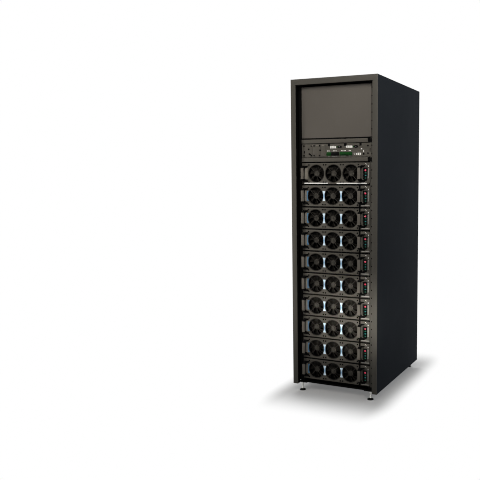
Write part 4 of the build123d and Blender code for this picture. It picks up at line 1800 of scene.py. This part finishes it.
        # Black strips along the top and bottom edges darken the seams between modules: painted
        # shade.
        for low, high in ((-self.half, 1 - half), (half - 1, self.half)):
            shape.slab((1 - right, back - 1.2, low), (right - 1, back, high), 0.3, 3)
        paints = [MODULE_PAINT, BLACK_MOULDING, PALE_PAINT, LINING_AND_SHADE_PAINT, STRIP_PAINT]
        return shape.mesh("fascia", paints)

    def case(self) -> Mesh:
        """Sheet-steel case: a black front with the fan wells, a folded body and a vented lid."""
        plan, back, high = self.plan, self.plan.fascia_back, self.case_top
        low, half = self.case_rise - plan.pitch / 2, self.right - self.wing
        floor, end = plan.fascia + self.well, back + self.case_depth
        outline = rectangle((-half, low), (half, high), self.corner)
        wells = [circle((x, 0), self.opening) for x in self.fans]
        # Its black front block darkens the seams between the fascias: painted shade.
        shape = Shape().plate(outline, (back, floor), holes=wells, radius=0.4, paint=1)
        shape.slab((-half, floor, low), (half, end, high - 1.2), 0.8)
        self._lid(shape, half, (floor, end), high)
        for x in self.fans:
            for profile, sides in self.well_parts:
                shape.turned(profile, (x, 0), sides=sides, paint=1, start=floor)
            for k in range(self.fan_count):
                self._stay(shape, x, math.radians(30 + 120 * k), floor)
        return shape.mesh("case", [RUNNER_STEEL, LINING_AND_SHADE_PAINT])

    def _lid(self, shape: Shape, half: float, span: Flat, high: float) -> None:
        """Screwed lid with a field of vent slots."""
        (front, end), (side, inset) = span, self.lid_margins
        (columns, rows), (across, along) = self.vent_grid, self.vent_reach
        (first, setback), (column_pitch, row_pitch) = self.vent_start, self.vent_pitch
        slots = [
            rectangle((x - across, y - along), (x + across, y + along), across - 0.1, 2)
            for y in (front + setback + row * row_pitch for row in range(rows))
            for x in (first + column * column_pitch for column in range(columns))
        ]
        outline = rectangle((side - half, front + inset), (half - side, end - side), 3.0)
        sheet = (high - self.lid_sheet, high)
        shape.plate(outline, sheet, Axis.Z, holes=slots, radius=0.4, steps=1, wall=1)

    def _stay(self, shape: Shape, x: float, angle: float, floor: float) -> None:
        """One stay that carries the stator in its well."""
        width, depth = self.stay_size
        out = Vector((math.cos(angle), math.sin(angle)))
        side = Vector((-out.y, out.x)) * width / 2
        root, tip = (Vector((x, 0)) + out * reach for reach in self.stay_ends)
        bar = [tuple(root - side), tuple(tip - side), tuple(tip + side), tuple(root + side)]
        shape.plate(bar, (floor - depth, floor), radius=0.5, paint=1)

    def guards(self) -> Mesh:
        """Wire guards across the fan openings."""
        y = self.plan.fascia + self.guard_sink
        places = spots("guard_places", [(x, y, 0.0) for x in self.fans])
        return GuardTree(GUARD_MOULDING).run(places, "guards")

    def handles(self) -> Mesh:
        """Strap handles: a pale grip bar on a black liner, its legs folded back to brackets."""
        face, corner = self.plan.fascia, self.handle_corner
        front = face - self.handle_reach
        half, lap = self.handle_height / 2, self.strap_lap
        inner, hollow = half - self.leg, front + self.strap + self.liner
        cut = corner - self.inner_cut
        upper = [(face, half), (front + corner, half), (front + lap, half - corner + lap)]
        lower = [(face, -inner), (hollow + cut, -inner), (hollow, cut - inner)]
        outline = [*upper, *self._mirrored(upper), *lower, *self._mirrored(lower)]
        legs = rounded(outline, [0, 3, 3, 3, 3, 0, 0, 1, 1, 1, 1, 0], 3)
        grip = half - corner - 0.5
        bar = rectangle((front, -grip), (front + self.strap - self.strap_relief, grip), 1.8)
        shape = Shape()
        for number, x in enumerate(self.handle_xs):
            left = x - self.handle_width / 2
            right, margin = left + self.grip, self.leg_margin
            shape.plate(legs, (left + margin, right - margin), Axis.X, radius=0.8, paint=1)
            shape.plate(bar, (left, right), Axis.X, radius=1.6, steps=3)
            self._brackets(shape, x, number)
        return shape.mesh("handles", [HANDLE_PAINT, BLACK_MOULDING])

    @staticmethod
    def _mirrored(corners: Loop) -> list[Flat]:
        """The corners mirrored about the middle, in turned order."""
        return [(u, -v) for u, v in reversed(corners)]

    def _brackets(self, shape: Shape, x: float, number: int) -> None:
        """Black brackets at a handle's two feet; the right one reaches towards the lamps."""
        low = self.handle_height / 2 - self.strap
        end, cut = x + self.bracket_ends[number], self.bracket_cuts[number]
        span = (self.plan.fascia - self.bracket_proud, self.plan.fascia + 0.4)
        for upper in (0, 1):
            start = x + self.bracket_starts[number * upper]
            high = low + self.bracket_height - self.bracket_relief * upper
            corners = [(start, low), (end - cut, low), (end, low + cut), (end, high), (start, high)]
            placed = corners if upper else self._mirrored(corners)
            shape.plate(rounded(placed, 1.0, 2), span, radius=0.8, paint=1)

    def signals(self) -> Mesh:
        """Signal window with its board, its lamps and the bezel that runs on below it."""
        face, (left, right), half = self.plan.fascia, self.window_edges, self.signal_size[1] / 2
        shape = Shape()
        shape.slab((left + 0.2, face + 1.4, 0.2 - half), (right - 0.2, face + 3, half - 0.2), 0.3)
        start, low = left + self.bezel_inset, -half - self.bezel_drop
        bezel = rounded(rectangle((start, low), (right, 1 - half)), self.bezel_corners, 5)
        shape.plate(bezel, (face - 1.0, face + 1.4), radius=0.5, paint=5)
        shape.turned(self.lens, self.red_lamp, sides=20, paint=1, start=face)
        shape.blocks(self.lamps, (self.red_lamp[0], face, 0.0))
        for k in range(self.tick_count):
            shape.blocks([self.tick], (left, face, self.tick_start - self.tick_pitch * k))
        finishes = [WINDOW_TINT, RED_LAMP, GREEN_LAMP, CYAN_LAMP, GUARD_MOULDING, BLACK_MOULDING]
        return shape.mesh("signals", finishes)

    def screws(self) -> Mesh:
        """Corner screws of every fan, and the rivets along the case's lid."""
        face, (across, up) = self.plan.fascia, self.screw_reach
        corners = [(dx, dz) for dx in (-across, across) for dz in (-up, up)]
        places = [(x + dx, face, dz) for x in self.fans for dx, dz in corners]
        tree = ScrewTree(BLACK_SCREW)
        front = tree.run(spots("fan_screws", places), "fan_screws", radius=0.0048, height=0.0012)
        margin, start, step = self.rivet_places
        half, z = self.right - self.wing - margin, self.case_top - 0.2
        ys = [face + start + step * k for k in range(self.rivet_count)]
        lid = [(x, y, z) for x in (-half, half) for y in ys]
        rivets = tree.run(spots("lid_screws", lid), "lid_screws", radius=0.003, turn=0.0)
        return merged("screws", [front, rivets])

    def trim(self) -> Mesh:
        """Bright bars of the bypass module, or the waisted blue strips of a power module."""
        face = self.plan.fascia
        marks = [(x, face - self.mark_sink, z) for x, z in self.marks]
        points = spots("corner_marks", marks, self.mark_sizes)
        printed = MarkTree(WHITE_PRINT).run(points, "corner_marks")
        shape = Shape()
        if self.kind is Kind.BYPASS:
            shape.blocks(self.bars, (0.0, face, -self.half))
            return merged("trim", [shape.mesh("bars", [BRIGHT_BAR]), printed])
        span = (face + self.shoe.low[1], face + self.shoe.high[1])
        for x in (fan + self.fan_pitch / 2 for fan in self.fans[:2]):
            shape.plate(self._waist(x), span, radius=0.3, steps=1)
            for z in (-self.shoe_rise, self.shoe_rise):
                shape.blocks([self.shoe], (x, face, z))
        strips = shape.mesh("strips", [BLUE_STRIP, HANDLE_PAINT])
        # The left end takes the darker blue: painted shade of the left handle.
        end = Shape().plate(self._left_end(), span, radius=0.3, steps=1)
        ends = end.mesh("end", [SHADED_BLUE_END])
        for mesh in (strips, ends):
            layer = mesh.attributes.new("end", "FLOAT", "POINT")
            places = [abs(v.co.z) / MM / self.strip_half for v in mesh.vertices]
            layer.data.foreach_set("value", places)
        return merged("trim", [strips, ends, printed])

    def _edges(self) -> list[Flat]:
        """Heights along a strip from its top down, with half the openings' width at each."""
        steps = self.strip_steps
        heights = (self.strip_half * (1 - 2 * k / steps) for k in range(steps + 1))
        flat, radius = self.opening_flats[self.kind.value], self.opening
        return [(z, min(flat, math.sqrt(radius**2 - z**2)) + self.strip_gap) for z in heights]

    def _waist(self, x: float) -> list[Flat]:
        """Outline between two fan openings."""
        half, pitch = self.strip_width / 2, self.fan_pitch / 2
        side = [(min(half, pitch - reach), z) for z, reach in self._edges()]
        return [(x - s, z) for s, z in side] + [(x + s, z) for s, z in reversed(side)]

    def _left_end(self) -> list[Flat]:
        """Outline between the left handle and the first fan opening."""
        edge = [(self.fans[0] - reach, z) for z, reach in reversed(self._edges())]
        left = self.handle_xs[0] + self.left_end
        return [(left, self.strip_half), (left, -self.strip_half), *edge]


@dataclass
class FanRotor:
    """Hub and blades of one fan, its front face at y = 0."""

    hub: float = 21.0
    depth: float = 22.0
    disc: Flat = (14.2, 1.2)
    groove: Flat = (15.2, 0.3)
    crown: Loop = ((17.4, 0.3), (19.6, 1.0))
    shoulder: float = 2.8

    def mesh(self) -> Mesh:
        """Crowned hub with a dished face, and the blades round it."""
        rim = [(self.hub, self.shoulder), (self.hub, self.depth), (0, self.depth)]
        profile = [(0, self.disc[1]), self.disc, self.groove, *self.crown, *rim]
        paints = [0, 0, 0, 1, 1, 1, 1, 1]
        shape = Shape().turned(profile, (0, 0), sides=36, paint=paints)
        hub = shape.mesh("hub", [HUB_MOULDING, ROTOR_MOULDING])
        seed = spots("blade_seed", [(0.0, 0.0, 0.0)])
        blades = BladeTree(ROTOR_MOULDING).run(seed, "blades")
        blades.shade_smooth()
        blades.set_sharp_from_angle(angle=SHARP)
        return merged("rotor", [hub, blades])


@dataclass
class ModuleStack:
    """The ten modules and their thirty rotors."""

    plan: Layout = PLAN

    def build(self) -> None:
        """Builds each kind once and copies it into its rows."""
        kinds = {kind: FanModule(kind) for kind in Kind}
        sets = {kind: module.templates() for kind, module in kinds.items()}
        rotor = FanRotor().mesh()
        for row in range(self.plan.rows):
            kind = Kind.POWER if row else Kind.BYPASS
            body = f"power_module_{row:02d}" if row else "bypass_module"
            z = self.plan.row_middle(row)
            for label, (mesh, slot) in sets[kind].items():
                name = f"{body}.{label}"
                nodes = [body] if label == "fascia" else ()
                fit(name, shifted(mesh, name, z=z), slot, nodes, body)
            module = kinds[kind]
            y = self.plan.fascia + module.rotor_gap
            for place, x in zip(("left", "centre", "right"), module.fans):
                name = f"{body}_rotor_{place}"
                fit(f"{name}.fan", shifted(rotor, name, x, y, z), Slot.ROTOR, [name], name)


# ------------ studio


WHITE, WARM, COOL = (1.0, 1.0, 1.0), (1.0, 0.96, 0.9), (0.95, 0.98, 1.0)


def aimed(place: Point, ahead: Vector) -> Matrix:
    """Where a camera or a lamp stands that looks ahead."""
    return Matrix.Translation(place) @ ahead.to_track_quat("-Z", "Y").to_matrix().to_4x4()


@dataclass(frozen=True)
class SoftBox:
    """A soft rectangular lamp: where it hangs and points to, in metres, and its light in watts."""

    name: str
    place: Point
    target: Point
    size: Flat
    power: float
    colour: Point
    spread: float = 180.0

    def hang(self) -> None:
        """Adds the lamp to the scene; its spread is how wide its grid lets the light out."""
        data = bpy.data.lights.new(self.name, "AREA")
        data.shape = "RECTANGLE"
        data.size, data.size_y = self.size
        data.energy = self.power
        data.spread = math.radians(self.spread)
        data.color = self.colour
        piece = linked(self.name, data)
        piece.visible_camera = False
        piece.matrix_world = aimed(self.place, Vector(self.target) - Vector(self.place))


@dataclass
class Studio:
    """Floor, world, lamps and the camera at the photograph's angle."""

    location: Point = (1.687, -4.028, 1.408)
    yaw: float = -0.402
    pitch: float = -0.096
    focal_pixels: float = 624.98
    centre: Flat = (355.7, 240.0)
    frame_pixels: float = 480.0
    sensor: float = 36.0
    far: float = 200.0
    pixel_filter: float = 1.0
    sky: Point = (0.97, 0.99, 1.0)
    sky_strength: float = 0.15
    floor_size: float = 30.0
    floor_tones: Flat = (0.07, 0.44)
    # Share of white left in the painted shadow pool round the cabinet.
    floor_lift: float = 0.15
    painted_shadow_pool: Flat = (0.16, 0.4)
    lamps: tuple[SoftBox, ...] = (
        SoftBox("key", (0.5, -1.9, 3.1), (0, -0.4, 1.8), (1.6, 1.0), 10.2, WARM, 80.0),
        SoftBox("low", (0.4, -2.3, 0.7), (0.14, -0.42, 0.53), (0.5, 0.12), 0.78, WARM, 19.0),
        SoftBox("left", (-1.7, -1.3, 1.1), (-0.29, -0.43, 0.95), (0.2, 1.2), 2.5, WARM, 56.0),
        SoftBox("side", (3.4, 0.2, 2.8), (0, 0, 1.4), (2.0, 2.0), 56.0, COOL),
        SoftBox("back", (-2.6, 3.6, 3.0), (0, 0, 1.2), (3.0, 2.0), 240.0, WHITE),
    )

    def build(self) -> None:
        """Sets up everything round the cabinet."""
        scene = bpy.context.scene
        scene.view_settings.view_transform = "Standard"
        scene.cycles.filter_width = self.pixel_filter
        self.world()
        self.floor()
        self.camera()
        for lamp in self.lamps:
            lamp.hang()

    def world(self) -> None:
        """White to the eye and in reflections, soft grey as light."""
        world = bpy.data.worlds.new("studio")
        bpy.context.scene.world = world
        graph = Graph.blank(world)
        soft, white = (
            graph.add("ShaderNodeBackground", {"Color": colour, "Strength": strength})
            for colour, strength in ((self.sky, self.sky_strength), (WHITE, 1.0))
        )
        inputs = {0: self._seen(graph), 1: soft.outputs[0], 2: white.outputs[0]}
        mixed = graph.add("ShaderNodeMixShader", inputs)
        graph.add("ShaderNodeOutputWorld", {"Surface": mixed.outputs[0]})

    @staticmethod
    def _seen(graph: Graph) -> Sock:
        """1 on camera, glossy and transmission rays."""
        path = graph.add("ShaderNodeLightPath")
        rays = ("Camera", "Glossy", "Transmission")
        camera, glossy, through = (Sock(graph, path.outputs[f"Is {ray} Ray"]) for ray in rays)
        return (camera + glossy + through).between(0.0, 1.0)

    def floor(self) -> None:
        """Floor keeping the cabinet's shadow and a painted shadow pool; white out to the backdrop.
        """
        build = bmesh.new()
        bmesh.ops.create_grid(build, x_segments=1, y_segments=1, size=self.floor_size)
        mesh = bpy.data.meshes.new("floor")
        build.to_mesh(mesh)
        build.free()
        made = bpy.data.materials.new("studio_floor")
        graph = Graph.blank(made)
        seen = self._seen(graph)
        dark, light = ((tone, tone, tone) for tone in self.floor_tones)
        pale = graph.add("ShaderNodeBsdfDiffuse", {"Color": graph.mix(seen, dark, light)})
        white = graph.add("ShaderNodeEmission", {"Color": WHITE, "Strength": 1.0})
        place = graph.add("ShaderNodeSeparateXYZ", {0: graph.spot()})
        # Painted shadow pool: near the footprint the floor shows less of its white, fading out
        # within the pool's reach.
        across, along = (
            Sock(graph, place.outputs[i]).distance().between(edge * MM, edge * MM + self.painted_shadow_pool[i])
            for i, edge in enumerate((PLAN.half, PLAN.back))
        )
        shadow_fade = (across * across + along * along).root().eased()
        share = seen * (shadow_fade * (1 - self.floor_lift) + self.floor_lift)
        inputs = {0: share, 1: pale.outputs[0], 2: white.outputs[0]}
        mixed = graph.add("ShaderNodeMixShader", inputs)
        graph.add("ShaderNodeOutputMaterial", {"Surface": mixed.outputs[0]})
        mesh.materials.append(made)
        piece = linked("studio_floor", mesh)

    def camera(self) -> None:
        """Camera at the photograph's place, shifted as its frame needs."""
        data = bpy.data.cameras.new("camera")
        data.sensor_width = self.sensor
        data.sensor_fit = "HORIZONTAL"
        data.lens = self.focal_pixels / self.frame_pixels * self.sensor
        data.shift_x = (self.frame_pixels / 2 - self.centre[0]) / self.frame_pixels
        data.shift_y = (self.centre[1] - self.frame_pixels / 2) / self.frame_pixels
        data.clip_end = self.far
        piece = linked("camera", data)
        level = math.cos(self.pitch)
        across, along = math.sin(self.yaw) * level, math.cos(self.yaw) * level
        piece.matrix_world = aimed(self.location, Vector((across, along, math.sin(self.pitch))))
        bpy.context.scene.camera = piece


def main() -> None:
    """Builds the cabinet's looks and the studio."""
    logging.basicConfig(level=logging.INFO, format="%(name)s %(message)s")
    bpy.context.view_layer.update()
    CabinetShell().build()
    ControlSection().build()
    ModuleStack().build()
    Studio().build()


if __name__ == "__main__":
    main()
